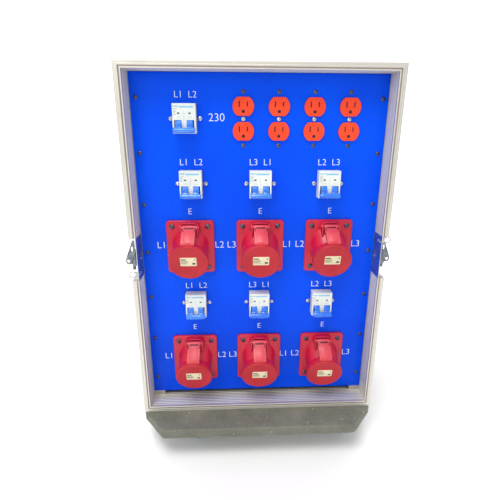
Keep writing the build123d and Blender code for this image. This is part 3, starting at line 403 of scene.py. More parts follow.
def base_board():
    """Grey moulded wheel board: leathery grain, trodden dust and pale crumbs on it."""
    look = Look("base_board", Specular_IOR_Level=0.3)
    tone = look.mix(look.span(look.noise(12, 6, 0.65), 0.3, 0.7), srgb(96, 97, 86), srgb(128, 129, 116))
    dust = look.span(look.noise(260, 4, 0.7), 0.48, 0.72, 0, 0.35)
    tone = look.mix(dust, tone, srgb(150, 150, 138))
    crumbs = look.span(look.cells(70), 0.05, 0.085, 0.85, 0)
    look.colour(look.mix(crumbs, tone, srgb(205, 205, 185)))
    look.rough(look.span(look.noise(80, 4), 0.3, 0.7, 0.55, 0.75))
    look.relief(look.noise(1300, 4, 0.6), 0.12)
    return look.material


def lettering_paint():
    """White screen-printed ink, a little thin in places."""
    look = Look("lettering_paint")
    thin = look.span(look.noise(700, 4, 0.7), 0.55, 0.75, 0, 0.35)
    look.colour(look.mix(thin, srgb(238, 242, 250), srgb(170, 195, 245)))
    look.rough(look.span(look.noise(300, 3), 0.3, 0.7, 0.35, 0.5))
    look.relief(look.noise(2200, 2), 0.01)
    return look.material


def rubber():
    """Wheel rubber: fine grain, with floor dust rubbed into the tread."""
    look = Look("wheel_tyre", Specular_IOR_Level=0.35)
    tone = look.mix(look.span(look.noise(70, 5), 0.3, 0.7), srgb(62, 84, 112), srgb(92, 118, 150))
    dust = look.span(look.noise(420, 4, 0.7), 0.5, 0.72, 0, 0.5)
    look.colour(look.mix(dust, tone, srgb(150, 148, 140)))
    look.rough(look.span(look.noise(200, 3), 0.3, 0.7, 0.5, 0.7))
    look.relief(look.noise(1800, 3), 0.05)
    return look.material


PANEL = panel_paint()
FRAME_ALONG_X = frame_metal("frame_metal_x", (0.0006, 1, 1))
FRAME_ALONG_Z = frame_metal("frame_metal_z", (1, 1, 0.0006))
LAMINATE = laminate()
BASE = base_board()
INK = lettering_paint()
TYRE = rubber()
TRIM = metal("trim_metal", srgb(214, 214, 212), srgb(176, 176, 174), 0.34, streak=500, depth=0.015)
ZINC = metal("zinc_plate", srgb(200, 202, 204), srgb(150, 153, 158), 0.36, streak=150, depth=0.02)
LATCH = metal("latch_metal", srgb(150, 154, 160), srgb(92, 97, 106), 0.30, streak=220, depth=0.02, grime=0.4)
RAIL = metal("rail_metal", srgb(222, 214, 200), srgb(190, 184, 172), 0.4, stretch=(1, 1, 0.02), streak=1200)
BRIGHT = metal("bright_screw", srgb(226, 226, 224), srgb(176, 178, 182), 0.22, streak=1400, depth=0.01)
BLACK = metal("black_screw", srgb(122, 116, 134), srgb(70, 66, 82), 0.28, streak=1400, depth=0.01, grime=0.2)
BRASS = metal("brass", srgb(214, 178, 96), srgb(176, 138, 64), 0.3, streak=900)
COPPER = metal("copper", srgb(214, 136, 96), srgb(176, 98, 62), 0.32, streak=900)
SHELL_RED = moulded("socket_shell_red", srgb(206, 16, 56), srgb(188, 6, 44), 0.34, coat=0.1, dust=0.04)
# painted shade: a darker, duller copy of the socket red for lids, whose faces tilt down away from the
# overhead light
SHADED_LID_RED = moulded("socket_lid_red_shaded", srgb(196, 44, 56), srgb(180, 34, 46), 0.5, dust=0.06, specular=0.3)
# painted light: a paler, pinker copy of the socket red for the lid arms, whose tops face the overhead light
LIT_ARM_RED = moulded("socket_arm_red_lit", srgb(222, 76, 86), srgb(208, 60, 72), 0.4, dust=0.06)
# painted shade: dark red for the shade under the hinge hood on the lid arm
SHADOW_RED = moulded("painted_hinge_shade_red", srgb(112, 8, 34), srgb(92, 4, 26), 0.5, dust=0.0)
CARRIER = moulded("contact_carrier", srgb(52, 50, 50), srgb(36, 34, 34), 0.5, dust=0.04)
PLATE = moulded("rating_plate", srgb(236, 226, 190), srgb(222, 210, 172), 0.5, dust=0.1)
PLATE_INK = moulded("rating_plate_ink", srgb(70, 66, 62), srgb(52, 48, 46), 0.6, dust=0.0)
# painted shade: dark purple for the plates that stand in for the shade inside the receptacle slots and earth
# holes
PAINTED_SLOT_SHADE = moulded("receptacle_slot_painted_shade", srgb(52, 16, 48), srgb(40, 10, 38), 0.6, dust=0.0)
ORANGE = moulded("receptacle_orange", srgb(255, 72, 22), srgb(240, 58, 12), 0.28, coat=0.15, dust=0.05)
WHITE = moulded("breaker_white", srgb(232, 236, 230), srgb(214, 220, 216), 0.42, dust=0.06)
PALE_BLUE = moulded("breaker_stripe", srgb(120, 196, 232), srgb(98, 178, 220), 0.4, dust=0.04)
GREY_INK = moulded("breaker_marks", srgb(150, 160, 168), srgb(128, 138, 146), 0.5, dust=0.0)
WINDOW = moulded("breaker_window", srgb(28, 84, 80), srgb(16, 60, 58), 0.15, dust=0.0)
TOGGLE = moulded("toggle_blue", srgb(52, 134, 240), srgb(30, 104, 222), 0.25, coat=0.3, dust=0.04)
TERMINAL = moulded("terminal_grey", srgb(150, 152, 150), srgb(126, 128, 126), 0.5)
HUB = moulded("wheel_hub", srgb(44, 74, 118), srgb(30, 56, 96), 0.4)


# ---------------------------------------------------------------- front frame
# Section of the bar, as (outward from the opening, back from the front)
BAR_FRONT = ((0.0, 0.35), (0.35, 0.0), (1.8, 0.0), (2.1, 0.3), (2.1, 2.6), (4.3, 2.6), (4.3, 0.3),
             (4.6, 0.0), (6.2, 0.0), (6.7, 0.6), (8.2, 0.6), (8.45, 0.85), (8.7, 0.6), (11.2, 0.6),
             (11.75, 0.8), (12.0, 1.4))
BAR_BACK = ((12.0, 40.0), (11.0, 40.0), (11.0, 8.0), (1.5, 8.0), (1.5, 40.0), (0.0, 40.0))
RIDGE_PITCH = 4.0
RIDGE_COUNT = 8
RIDGE_DEPTH = 0.45


def bar_section():
    """Closed outline of the bar, with drawn grooves along the face that looks into the opening."""
    grooves = []
    for k in reversed(range(RIDGE_COUNT)):
        mid = 6.0 + RIDGE_PITCH * k
        grooves += [(0.0, mid + 0.9), (RIDGE_DEPTH, mid + 0.5), (RIDGE_DEPTH, mid - 0.5), (0.0, mid - 0.9)]
    return [*BAR_FRONT, *BAR_BACK, *grooves]


def bar_between(ends, point_of):
    """Bar whose section is swept between two end faces, which point_of(section point, end) places."""
    bm = bmesh.new()
    section = bar_section()
    first, last = ([bm.verts.new(point_of(out, back, end)) for out, back in section] for end in ends)
    bm.faces.new(first)
    bm.faces.new(last[::-1])
    for k in range(len(section)):
        bm.faces.new((first[k], first[k - 1], last[k - 1], last[k]))
    return rounded(bm, 0, 1)


def make_frame():
    """Four mitred bars round the opening, with a gap in each side bar for its latch."""
    low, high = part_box("frame_top")
    bottom_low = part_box("frame_bottom")[0]
    latch_low, latch_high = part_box("latch_plates")
    half_w, front = high.x / MM, low.y / MM
    inner_x, inner_top, inner_bottom = half_w - 12, high.z / MM - 12, bottom_low.z / MM + 12
    metres = Matrix.Scale(MM, 4)
    for name, inner_z, up in (("top", inner_top, 1), ("bottom", inner_bottom, -1)):
        def level(out, back, end):
            return (end * (inner_x + out), front + back, inner_z + up * out)
        bar = bar_between((-1, 1), level)
        build(f"bar_{name}", [(bar, metres)], FRAME_ALONG_X, "cabinet", "frame_aluminium", f"frame_{name}",
              crease=20)
    for name, side in (("left", -1), ("right", 1)):
        def upright(out, back, end):
            heights = {"foot": inner_bottom - out, "head": inner_top + out,
                       "gap_low": latch_low.z / MM - 0.2, "gap_high": latch_high.z / MM + 0.2}
            return (side * (inner_x + out), front + back, heights[end])
        spans = [bar_between(ends, upright) for ends in (("foot", "gap_low"), ("gap_high", "head"))]
        build(f"bar_{name}", [(span, metres) for span in spans], FRAME_ALONG_Z, "cabinet",
              "frame_aluminium", f"frame_{name}", crease=20)


# ---------------------------------------------------------------- screws
def recess(kind, size, angle):
    """How far a driver's recess reaches from the middle, at an angle."""
    if kind == "cross":
        folded = abs((angle + math.pi / 4) % (math.pi / 2) - math.pi / 4)
        return min(size / max(math.cos(folded), 0.01), 0.26 * size / max(math.sin(folded), 0.01))
    if kind == "slot":
        folded = abs((angle + math.pi / 2) % math.pi - math.pi / 2)
        return min(1.5 * size / max(math.cos(folded), 0.01), 0.2 * size / max(math.sin(folded), 0.01))
    folded = (angle + math.pi / 6) % (math.pi / 3) - math.pi / 6
    return 0.8 * size / math.cos(folded)


def screw_head(radius, height, kind, shank=1.8, reach=8.0, turns=48):
    """Domed head on the local floor, with a driver's recess in it and a shank behind it."""
    bm = bmesh.new()
    size = 0.52 * radius
    dome = 6
    angles = [2 * math.pi * (k + 0.5) / turns for k in range(turns)]

    def ring(radius_at, height_at):
        return [bm.verts.new((radius_at(a) * math.cos(a), radius_at(a) * math.sin(a), height_at))
                for a in angles]

    lean = [math.pi / 2 * k / dome for k in range(dome + 1)]
    crown = [(radius * math.sin(a), height * (0.35 + 0.65 * math.cos(a))) for a in lean]
    floor = [bm.verts.new((0, 0, height * 0.35))]
    loops = [floor, ring(lambda a: recess(kind, size, a) * 0.85, height * 0.35),
             ring(lambda a: recess(kind, size, a), height * 0.93)]
    for r, h in crown:
        if r > size * 1.55:
            loops.append(ring(lambda a, r=r: r, h))
    loops += [ring(lambda a: radius, 0.0), ring(lambda a: shank, 0.0), ring(lambda a: shank, -reach),
              [bm.verts.new((0, 0, -reach - 0.5))]]
    for near, far in zip(loops, loops[1:]):
        for k in range(turns):
            corners = [near[k % len(near)], near[(k + 1) % turns % len(near)],
                       far[(k + 1) % turns % len(far)], far[k % len(far)]]
            bm.faces.new(list(dict.fromkeys(corners)))
    return rounded(bm, 0, 1)


def spots_of(node):
    """Middle of each separate solid of a CAD node, from its own mesh."""
    bm = bmesh.new()
    bm.from_mesh(frame["nodes"][node].data)
    bmesh.ops.remove_doubles(bm, verts=bm.verts, dist=1e-6)
    left, spots = set(bm.verts), []
    while left:
        queue, island = [left.pop()], []
        while queue:
            vert = queue.pop()
            island.append(vert.co)
            for edge in vert.link_edges:
                other = edge.other_vert(vert)
                if other in left:
                    left.remove(other)
                    queue.append(other)
        low = Vector(min(co[k] for co in island) for k in range(3))
        high = Vector(max(co[k] for co in island) for k in range(3))
        spots.append((low, high))
    bm.free()
    return sorted(spots, key=lambda spot: (round(spot[0].z, 3), round(spot[0].x, 3)))


def make_screws():
    """Every screw on the front, each turned a little differently."""
    kinds = (("panel_screws", BLACK, "screw_black", "hex", 3.5, 2.2, 2.0),
             ("socket_screws", BLACK, "screw_black", "hex", 4.4, 2.4, 2.4),
             ("breaker_screws", BRIGHT, "screw_bright", "slot", 3.6, 2.2, 2.0),
             ("receptacle_screws", BLACK, "screw_black", "cross", 3.4, 1.9, 1.75))
    for node, material, slot, kind, radius, height, shank in kinds:
        head = screw_head(radius, height, kind, shank)
        plain, bright = [], []
        for number, (low, high) in enumerate(spots_of(node)):
            seat = PANEL_Y - 5 * MM if node == "socket_screws" else PANEL_Y
            where = on_front((low.x + high.x) / 2, seat, (low.z + high.z) / 2)
            where = where @ Matrix.Rotation(math.radians(37 * number + 15), 4, "Z")
            middle = node == "receptacle_screws" and abs(low.z + high.z - 2 * receptacle_row()) < 8 * MM
            (bright if middle else plain).append((head, where))
        build(f"{node}_heads", plain, material, "cabinet", slot, node)
        if bright:
            build(f"{node}_middle", bright, BRIGHT, "cabinet", slot, node)


def receptacle_row():
    """Height of the row of duplex receptacles."""
    low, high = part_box("receptacle_screws")
    return (low.z + high.z) / 2


# ---------------------------------------------------------------- power sockets
SOCKET_TILT = 15.0
BARREL_DROP = 5.5
BARREL_LEN = 33.0
BARREL_R = 31.0
BORE_R = 27.0
BORE_DEPTH = 38.0
CARRIER_R = 19.0
CARRIER_LEN = 26.0
CONTACT_RING_R = 12.5
FLANGE_W, FLANGE_H, FLANGE_T = 81.5, 95.0, 5.0
LID_R, LID_T, LID_GAP = 33.0, 7.2, 0.3
EAR_IN, EAR_T = 12.6, 3.0
ARM_W = 23.0
HOUSING_END = 24.5


def tilted(socket, along=0.0):
    """Local frame along a socket's barrel, which leans down out of the panel."""
    origin = on_front(socket.x, PANEL_Y, socket.z - BARREL_DROP * MM)
    return origin @ Matrix.Rotation(math.radians(SOCKET_TILT), 4, "X") @ Matrix.Translation((0, 0, along))


def sideways(socket, across=0.0):
    """Local frame seen from the right: x runs out of the panel, y up, and z to the left."""
    base = on_front(socket.x, PANEL_Y, socket.z)
    turn = Matrix(((0, 0, -1, across), (0, 1, 0, 0), (1, 0, 0, 0), (0, 0, 0, 1)))
    return base @ turn


def ear_outline():
    """Side view of a hinge ear: (out of the mounting face, height)."""
    return [(2, 8), (20.0, 8), (21.0, 12), (20.0, 30), *arc(5.2, 0, 60, 4, 13.0, 38.4), (2, 44)]


def hood_outline():
    """Front view of the hinge hood: a flat arch whose ends flare out."""
    right = [(0, 45.8), (9.0, 45.4), (13.6, 43.6), (16.2, 40.4), (18.8, 36.4), (16.4, 35.6), (14.6, 38.6),
             (12.6, 41.6), (9.0, 43.2)]
    return [*right, *[(-x, y) for x, y in reversed(right[1:])]]


def round_housing():
    """Tapered housing from the flange to the barrel's collar, as a closed skin in the panel's frame."""
    turn = Matrix.Rotation(math.radians(SOCKET_TILT), 4, "X")
    turns = 96
    angles = [2 * math.pi * k / turns for k in range(turns)]

    def on_flange(across, up, middle, out):
        return [Vector((across * math.cos(a), middle + up * math.sin(a), out)) for a in angles]

    def on_barrel(radius, along):
        drop = Vector((0, -BARREL_DROP, 0))
        return [drop + turn @ Vector((radius * math.cos(a), radius * math.sin(a), along)) for a in angles]

    loops = [on_flange(31.5, 33.0, 2.6, FLANGE_T - 1), on_flange(31.5, 33.0, 2.6, FLANGE_T + 1.2),
             on_flange(30.0, 31.8, 2.8, FLANGE_T + 2.2), on_barrel(29.8, HOUSING_END),
             on_barrel(28.0, HOUSING_END), on_barrel(28.0, 6.0)]
    bm = bmesh.new()
    rings = [[bm.verts.new(point) for point in loop] for loop in loops]
    for near, far in zip(rings, rings[1:] + rings[:1]):
        for k in range(turns):
            bm.faces.new((near[k - 1], near[k], far[k], far[k - 1]))
    return rounded(bm, 0.4, 2)


def make_socket_shell(number, socket):
    """Flange, tapered housing, stepped barrel, hinge hood and contact carrier of one socket."""
    front = on_front(socket.x, PANEL_Y, socket.z)
    floor = BARREL_LEN - BORE_DEPTH
    barrel = lathe([(0, -11), (29.0, -11), (29.0, HOUSING_END), (30.4, HOUSING_END + 0.5),
                    (BARREL_R, HOUSING_END + 1.2), (BARREL_R, BARREL_LEN), (BORE_R, BARREL_LEN),
                    (BORE_R, floor), (0, floor)], 0.5, 2, 96)
    solids = [
        (prism(box_outline(FLANGE_W, FLANGE_H, 6, 8), 0, FLANGE_T, 1.3, 4), front),
        (slab(FLANGE_W - 12, FLANGE_H - 12, FLANGE_T - 0.6, FLANGE_T + 0.5, 5, 0.4), front),
        (round_housing(), front),
        (barrel, tilted(socket)),
        (prism(hood_outline(), 2.0, 12.8, 0.6, 3), front),
    ]
    for side in (-1, 1):
        ear = prism(ear_outline(), -EAR_T / 2, EAR_T / 2, 0.7, 3)
        solids.append((ear, sideways(socket, side * (EAR_IN + EAR_T / 2))))
        boss_end = EAR_T / 2 + 0.6
        boss = lathe([(0, -boss_end), (3.4, -boss_end), (3.4, boss_end), (0, boss_end)])
        hinge = sideways(socket, side * (EAR_IN + EAR_T / 2 + 0.5))
        hinge = hinge @ Matrix.Translation((HINGE_OUT, HINGE_UP, 0))
        solids.append((boss, hinge))
    build(f"socket_shell_{number}", solids, SHELL_RED, "cabinet", "socket_red", "socket_bodies")
    top = floor + CARRIER_LEN
    core = lathe([(0, floor), (CARRIER_R, floor), (CARRIER_R, top), (0, top)], 0.6, 3)
    solids = [(core, tilted(socket))]
    for k in range(5):
        spot = Matrix.Rotation(math.radians(72 * k - 90), 4, "Z") @ Matrix.Translation((CONTACT_RING_R, 0, 0))
        bush = lathe([(2.4, top - 6), (4.4, top - 6), (4.4, top + 0.7), (2.4, top + 0.7)], 0.2, 1, 32)
        solids.append((bush, tilted(socket) @ spot))
    build(f"contact_carrier_{number}", solids, CARRIER, "cabinet", "terminal_grey", "socket_inserts")


def arm_outline():
    """Side view of the lid's arm: (out of the mounting face, height above the flange's middle)."""
    return [(15.4, 41.0), (18.0, 39.6), (30.0, 31.0), (41.0, 22.8), (43.3, 20.2), (44.0, 17.0),
            (42.0, 15.6), (40.6, 17.6), (14.0, 35.2)]


def make_socket_lid(number, socket):
    """Round spring lid with its flat arm, its hinge pin and a blank rating plate."""
    face = BARREL_LEN + LID_GAP
    body = f"lid_{number}"
    hinge = sideways(socket) @ Matrix.Translation((HINGE_OUT, HINGE_UP, 0))
    disc = lathe([(0, face + 0.8), (25, face + 0.8), (25.4, face), (LID_R, face), (LID_R, face + 5.6),
                  (LID_R - 0.5, face + LID_T - 0.5), (LID_R - 1.8, face + LID_T), (29.4, face + LID_T),
                  (28.8, face + LID_T - 0.35), (0, face + LID_T - 0.35)], 0.35, 2, 96)
    arm = prism(arm_outline(), -ARM_W / 2, ARM_W / 2, 0.9, 3)
    knuckle = lathe([(0, -ARM_W / 2), (4.0, -ARM_W / 2), (4.0, ARM_W / 2), (0, ARM_W / 2)], 0.5)
    solids = [(arm, sideways(socket)), (knuckle, hinge)]
    slope = math.atan2(22.8 - 31.0, 41.0 - 30.0)
    lean = sideways(socket) @ Matrix.Translation((30.0, 31.0, 0)) @ Matrix.Rotation(slope, 4, "Z")
    on_arm = lean @ Matrix(((0, -1, 0, 0), (0, 0, 1, 0), (-1, 0, 0, 0), (0, 0, 0, 1)))
    tongue = [(-8.2, 8.5), (-8.2, -9.5), *arc(8.2, 180, 360, 10, 0, -9.5), (8.2, 8.5)]
    solids.append((prism(tongue, -0.4, 0.45, 0.3), on_arm))
    # the lid disc takes the darker copy of the red, painted shade
    build(f"socket_cover_{number}", [(disc, tilted(socket))], SHADED_LID_RED, body, "lid_red",
          f"socket_lid_{number}")
    # the arm takes the paler copy of the red, painted light on its upward faces
    build(f"socket_arm_{number}", solids, LIT_ARM_RED, body, "lid_red", f"socket_lid_{number}")
    # painted shade: thin dark red slabs laid on the arm's top by the hinge stand for the shade under the hood
    recess = [(slab(15.6, 3.0, -0.6, 0.3, 0.8, 0.1, 0, 12.4), on_arm),
              (slab(1.4, 7.0, -0.6, 0.3, 0.5, 0.1, -9.6, 9.0), on_arm),
              (slab(1.4, 7.0, -0.6, 0.3, 0.5, 0.1, 9.6, 9.0), on_arm)]
    build(f"painted_hinge_shade_{number}", recess, SHADOW_RED, body, "lid_red")
    pin = lathe([(0, -16.4), (1.5, -16.4), (1.5, 16.4), (0, 16.4)], 0.3, 1, 24)
    build(f"lid_pin_{number}", [(pin, hinge)], BRIGHT, body, "screw_bright")
    plate = slab(27, 17, -0.2, 0.5, 1.8, 0.15)
    on_lid = tilted(socket, face + LID_T - 0.35) @ Matrix.Translation((0, 3.0, 0))
    build(f"rating_plate_{number}", [(plate, on_lid)], PLATE, body, "breaker_white")
    marks = []
    rows = ((9.0, 2.0, -8.2, 4.6), (2.2, 2.2, 10.6, 4.4), (13.0, 0.5, -6.4, 1.8), (11.0, 0.5, -7.4, 0.4),
            (13.6, 0.5, -6.1, -1.0), (10.0, 0.5, -7.9, -2.4), (12.4, 0.5, -6.7, -3.8), (5.2, 3.4, 8.8, -3.6))
    for width, height, x, y in rows:
        marks.append((slab(width, height, 0.45, 0.56, 0.2, 0.0, x, y), on_lid))
    build(f"rating_marks_{number}", marks, PLATE_INK, body, "screw_black")


# ---------------------------------------------------------------- circuit breakers
BREAKER_PROUD = 14.0


def make_breaker_face(number, breaker):
    """Printing, windows and cheeks on the face of one circuit breaker."""
    face = on_front(breaker.x, PANEL_Y - BREAKER_PROUD * MM, breaker.z)
    cheeks = [(slab(width, 13.0, -0.6, 1.0, 0.4, 0.35, x, -9.0), face)
              for width, x in ((2.6, -16.6), (2.6, -2.6), (2.6, 2.6), (2.6, 16.6))]
    lips = [(slab(35.6, 2.4, -0.6, 1.2, 0.8, 0.5, 0, -21.0), face),
            (slab(35.6, 2.6, -0.6, 0.5, 0.6, 0.4, 0, 21.0), face)]
    build(f"breaker_trim_{number}", [*cheeks, *lips], WHITE, "cabinet", "breaker_white")
    stripes = [(slab(21.4, 1.9, -0.1, 0.12, 0.2, 0.0, 3.4, 17.2), face),
               (slab(8.6, 1.3, -0.1, 0.12, 0.2, 0.0, -12.9, 18.0), face)]
    build(f"breaker_stripe_{number}", stripes, PALE_BLUE, "cabinet", "toggle_blue")
    marks = [(slab(0.35, 13, -0.1, 0.06, 0, 0.0, 0, 4.5), face)]
    for row, width in enumerate((6.0, 4.0, 5.0, 3.4, 4.6)):
        marks.append((slab(width, 0.6, -0.05, 0.08, 0, 0.0, width / 2 - 16.6, 14.6 - 2.1 * row), face))
    for pole in (-1, 1):
        for leg in (-1, 1):
            marks.append((slab(0.4, 3.4, -0.05, 0.08, 0, 0.0, pole * 8.7 + leg * 1.8, 1.6), face))
    build(f"breaker_marks_{number}", marks, GREY_INK, "cabinet", "terminal_grey")
    windows = [(slab(3.6, 2.2, -0.3, 0.14, 0.4, 0.1, pole * 8.7, 7.9), face) for pole in (-1, 1)]
    build(f"breaker_windows_{number}", windows, WINDOW, "cabinet", "terminal_grey")


def make_breaker_handle(number):
    """Two toggle drums joined by one pull bar."""
    pivot = at(f"toggle_{number}_throw")
    seen_from_right = place(pivot, (0, -1, 0))
    drum = lathe([(0, -4.8), (6.8, -4.8), (6.8, 4.8), (0, 4.8)], 0.4, 2, 48)
    lever = [(-1.5, -5.0), (4.4, -6.6), (10.0, -11.0), (11.6, -8.2), (7.4, -3.6), (3.0, 0.5)]
    bar = [(7.0, -4.8), (10.2, -4.6), (13.0, -7.4), (13.2, -10.0), (11.0, -12.6), (8.0, -12.2)]
    lip = [(11.4, -12.9), (13.6, -10.4), (12.6, -9.0), (9.8, -11.6)]
    solids = []
    for across in (-8.8, 8.8):
        shift = Matrix.Translation((0, 0, across))
        solids.append((drum, seen_from_right @ shift))
        solids.append((prism(lever, -4.6, 4.6, 0.5), seen_from_right @ shift))
        for k in range(5):
            tooth = Matrix.Rotation(math.radians(32 + 12 * k), 4, "Z") @ Matrix.Translation((6.8, 0, across))
            solids.append((slab(0.7, 0.7, -4.2, 4.2, 0, 0.15), seen_from_right @ tooth))
    solids.append((prism(bar, -16.8, 16.8, 0.7, 3), seen_from_right))
    solids.append((prism(lip, -12.4, 12.4, 0.4, 2), seen_from_right))
    build(f"toggle_pair_{number}", solids, TOGGLE, f"toggle_{number}", "toggle_blue",
          f"breaker_handle_{number}")


# ---------------------------------------------------------------- duplex receptacles
RECEPTACLE_PROUD = 3.0
OUTLET_SPACING = 38.1
SLOT_X = 6.4
EARTH_DROP = 7.4


def make_receptacle_slots():
    """Dark plates a little way down in every slot and earth hole: painted shade for the dark inside of the
    holes.
    """
    columns = sorted({round((low.x + high.x) / 2, 4) for low, high in spots_of("receptacle_bodies")})
    solids = []
    for x in columns:
        for up in (-1, 1):
            z = receptacle_row() + up * OUTLET_SPACING / 2 * MM
            face = on_front(x, PANEL_Y - RECEPTACLE_PROUD * MM, z)
            solids.append((slab(1.9, 8.8, -9, -0.7, 0.2, 0.0, -SLOT_X, 3.5), face))
            solids.append((slab(1.9, 7.2, -9, -0.7, 0.2, 0.0, SLOT_X, 3.5), face))
            earth = [*arc(2.4, 0, 180, 12, 0, -EARTH_DROP), (-2.4, -9.5), (2.4, -9.5)]
            solids.append((prism(earth, -9, -0.7, 0.0), face))
    build("receptacle_slot_shade_plates", solids, PAINTED_SLOT_SHADE, "cabinet", "terminal_grey")


# ---------------------------------------------------------------- lettering on the panel
def make_lettering():
    """Phase and voltage marks painted beside the breakers and sockets."""
    row = PANEL_MID_Z / MM
    labels = [("L1  L2", -118.3, 261.6, 10.0), ("230", -70.4, 227.1, 12.4)]
    for words, x in (("L1  L2", -113.5), ("L3  L1", 0.5), ("L2  L3", 114.5)):
        labels += [(words, x, 156.5, 10.6), (words, x, -64.8, 11.0)]
    for x in (-119.0, 0.5, 120.7):
        labels += [("E", x, 73.4, 10.4), ("E", x, -149.4, 10.4)]
    for words, x in (("L1", -170.3), ("L2", -70.2), ("L3", -49.0), ("L1", 48.7), ("L2", 71.0), ("L3", 170.6)):
        labels += [(words, x, 13.0, 12.0), (words, x, -211.4, 12.0)]
    solids = [(letters(words, height), on_front(x * MM, PANEL_Y - 0.05 * MM, (row + z) * MM))
              for words, x, z, height in labels]
    build("panel_lettering", solids, INK, "cabinet", "breaker_white")


# ---------------------------------------------------------------- casters
def make_caster(spot):
    """Tyre with a crowned tread, and a dished hub with its axle cap."""
    axle = at(f"roll_{spot}")
    where = place(axle, (1, 0, 0), (0, 0, 1))
    tyre = lathe([(13.2, -8.4), (17.4, -8.8), (18.6, -7.4), (18.95, -4), (19.0, 0),
                  (18.95, 4), (18.6, 7.4), (17.4, 8.8), (13.2, 8.4)], 0.0, 1, 72)
    hub = lathe([(3.06, -8.9), (5.6, -8.9), (6.2, -6.2), (11.6, -5.4), (12.4, -7.8), (13.4, -7.8),
                 (13.4, 7.8), (12.4, 7.8), (11.6, 5.4), (6.2, 6.2), (5.6, 8.9), (3.06, 8.9)], 0.3, 2, 72)
    build(f"tyre_{spot}", [(tyre, where)], TYRE, f"wheel_{spot}", "wheel_blue", f"caster_wheel_{spot}")
    spokes = []
    for k in range(6):
        turned = where @ Matrix.Rotation(math.radians(60 * k), 4, "Z")
        spokes.append((slab(5.0, 2.2, -5.8, 5.8, 0, 0.4, 9.2, 0), turned))
    build(f"hub_{spot}", [(hub, where), *spokes], HUB, f"wheel_{spot}", "wheel_blue",
          f"caster_wheel_{spot}")


# ---------------------------------------------------------------- CAD nodes that keep their shape
KEPT = (
    ("side_walls", LAMINATE, 0.0), ("wall_top", LAMINATE, 0.0),
    ("wall_bottom", LAMINATE, 0.0), ("wall_back", LAMINATE, 0.0), ("front_panel", PANEL, 0.0),
    ("edge_trims", TRIM, 0.3), ("corner_caps", ZINC, 0.4), ("latch_plates", TRIM, 0.0),
    ("rivets", BRIGHT, 0.4), ("rack_rails", RAIL, 0.0), ("breaker_bodies", WHITE, 0.5),
    ("breaker_rails", ZINC, 0.0), ("socket_contacts", BRASS, 0.0), ("receptacle_bodies", ORANGE, 0.3),
    ("receptacle_straps", ZINC, 0.0), ("wheel_base", BASE, 0.0), ("caster_plates", ZINC, 0.3),
    ("handle_dishes", ZINC, 0.3), ("inlet_body", SHELL_RED, 0.5), ("inlet_lid", SHADED_LID_RED, 0.5),
    ("inlet_pins", BRASS, 0.3), ("terminal_block", TERMINAL, 0.5), ("busbars", COPPER, 0.3),
    ("latch_hook_left", LATCH, 0.3), ("latch_hook_right", LATCH, 0.3), ("latch_wing_left", LATCH, 0.3),
    ("latch_wing_right", LATCH, 0.3), ("handle_bail_left", ZINC, 0.0), ("handle_bail_right", ZINC, 0.0),
    *((f"caster_fork_{spot}", ZINC, 0.3) for spot in CASTERS),
)


# ---------------------------------------------------------------- room, light and camera
def make_stage():
    """Plain pale floor that curves up into a pale wall well behind the case."""
    wall_y, bend = 2.4, 1.2
    section = [(-5.0, 0.0), (wall_y - bend, 0.0)]
    section += [(wall_y - bend + bend * math.sin(a), bend - bend * math.cos(a))
                for a in (math.pi / 2 * k / 24 for k in range(1, 25))]
    section.append((wall_y, 4.5))
    bm = bmesh.new()
    left, right = ([bm.verts.new((x, y, z)) for y, z in section] for x in (-6.0, 6.0))
    for k in range(len(section) - 1):
        bm.faces.new((left[k], right[k], right[k + 1], left[k + 1]))
    mesh = bpy.data.meshes.new("floor")
    bm.to_mesh(mesh)
    bm.free()
    mesh.shade_smooth()
    look = Look("floor", Specular_IOR_Level=0.1)
    look.colour(look.mix(look.span(look.noise(2.0, 3), 0.3, 0.7), srgb(246, 246, 246), srgb(250, 250, 250)))
    look.rough(look.span(look.noise(8.0, 3), 0.3, 0.7, 0.75, 0.85))
    mesh.materials.append(look.material)
    floor = bpy.data.objects.new("floor", mesh)
    bpy.context.scene.collection.objects.link(floor)


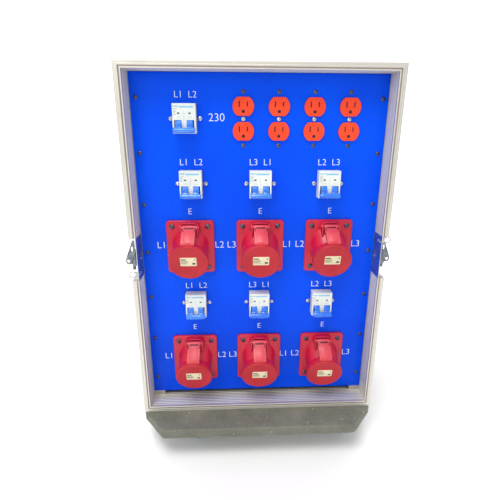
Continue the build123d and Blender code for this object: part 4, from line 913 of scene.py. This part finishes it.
def make_light(name, location, target, size, power, colour=(1, 1, 1)):
    """Soft rectangular studio light that faces a target."""
    data = bpy.data.lights.new(name, "AREA")
    data.shape = "RECTANGLE"
    data.size, data.size_y = size
    data.energy = power
    data.color = colour
    light = bpy.data.objects.new(name, data)
    light.location = location
    light.rotation_euler = (Vector(target) - Vector(location)).to_track_quat("-Z", "Y").to_euler()
    bpy.context.scene.collection.objects.link(light)


def make_room():
    """White surroundings, a broad overhead light, a weaker one from the front, and one on the wall."""
    world = bpy.data.worlds.new("room")
    world.use_nodes = True
    backdrop = world.node_tree.nodes["Background"]
    backdrop.inputs["Color"].default_value = (1, 1, 1, 1)
    backdrop.inputs["Strength"].default_value = 0.72
    bpy.context.scene.world = world
    make_light("overhead", (-0.4, -0.8, 2.2), (0, 0, 0.3), (1.2, 0.8), 26)
    make_light("front", (-1.3, -2.0, 1.5), (0, 0, 0.35), (1.0, 1.0), 8)
    make_light("wall", (0.0, 0.9, 2.6), (0, 2.4, 0.8), (3.0, 1.0), 60)
    bpy.context.scene.view_settings.view_transform = "Standard"


CAMERA_PLACE = (-0.0351, -0.6834, 0.5995)
CAMERA_TURN = -2.42
CAMERA_DIP = 15.23
CAMERA_ROLL = 0.29


def make_camera():
    """Camera just in front of the top of the case, looking down along it."""
    data = bpy.data.cameras.new("camera")
    data.lens = 24.48
    data.sensor_width = 36.0
    data.shift_x = -0.0065
    data.shift_y = -0.069
    data.clip_start = 0.02
    camera = bpy.data.objects.new("camera", data)
    turn = Matrix.Rotation(math.radians(CAMERA_TURN), 4, "Z")
    dip = Matrix.Rotation(math.radians(90 - CAMERA_DIP), 4, "X")
    roll = Matrix.Rotation(math.radians(CAMERA_ROLL), 4, "Z")
    camera.matrix_world = Matrix.Translation(CAMERA_PLACE) @ turn @ dip @ roll
    bpy.context.scene.collection.objects.link(camera)
    bpy.context.scene.camera = camera


make_camera()
make_room()
make_stage()
for node_name, kept_material, kept_edge in KEPT:
    dress(node_name, kept_material, kept_edge)
make_frame()
make_screws()
for socket_number, socket_place in SOCKETS.items():
    make_socket_shell(socket_number, socket_place)
    make_socket_lid(socket_number, socket_place)
for breaker_number, breaker_place in BREAKERS.items():
    make_breaker_face(breaker_number, breaker_place)
    make_breaker_handle(breaker_number)
make_receptacle_slots()
make_lettering()
for caster_spot in CASTERS:
    make_caster(caster_spot)
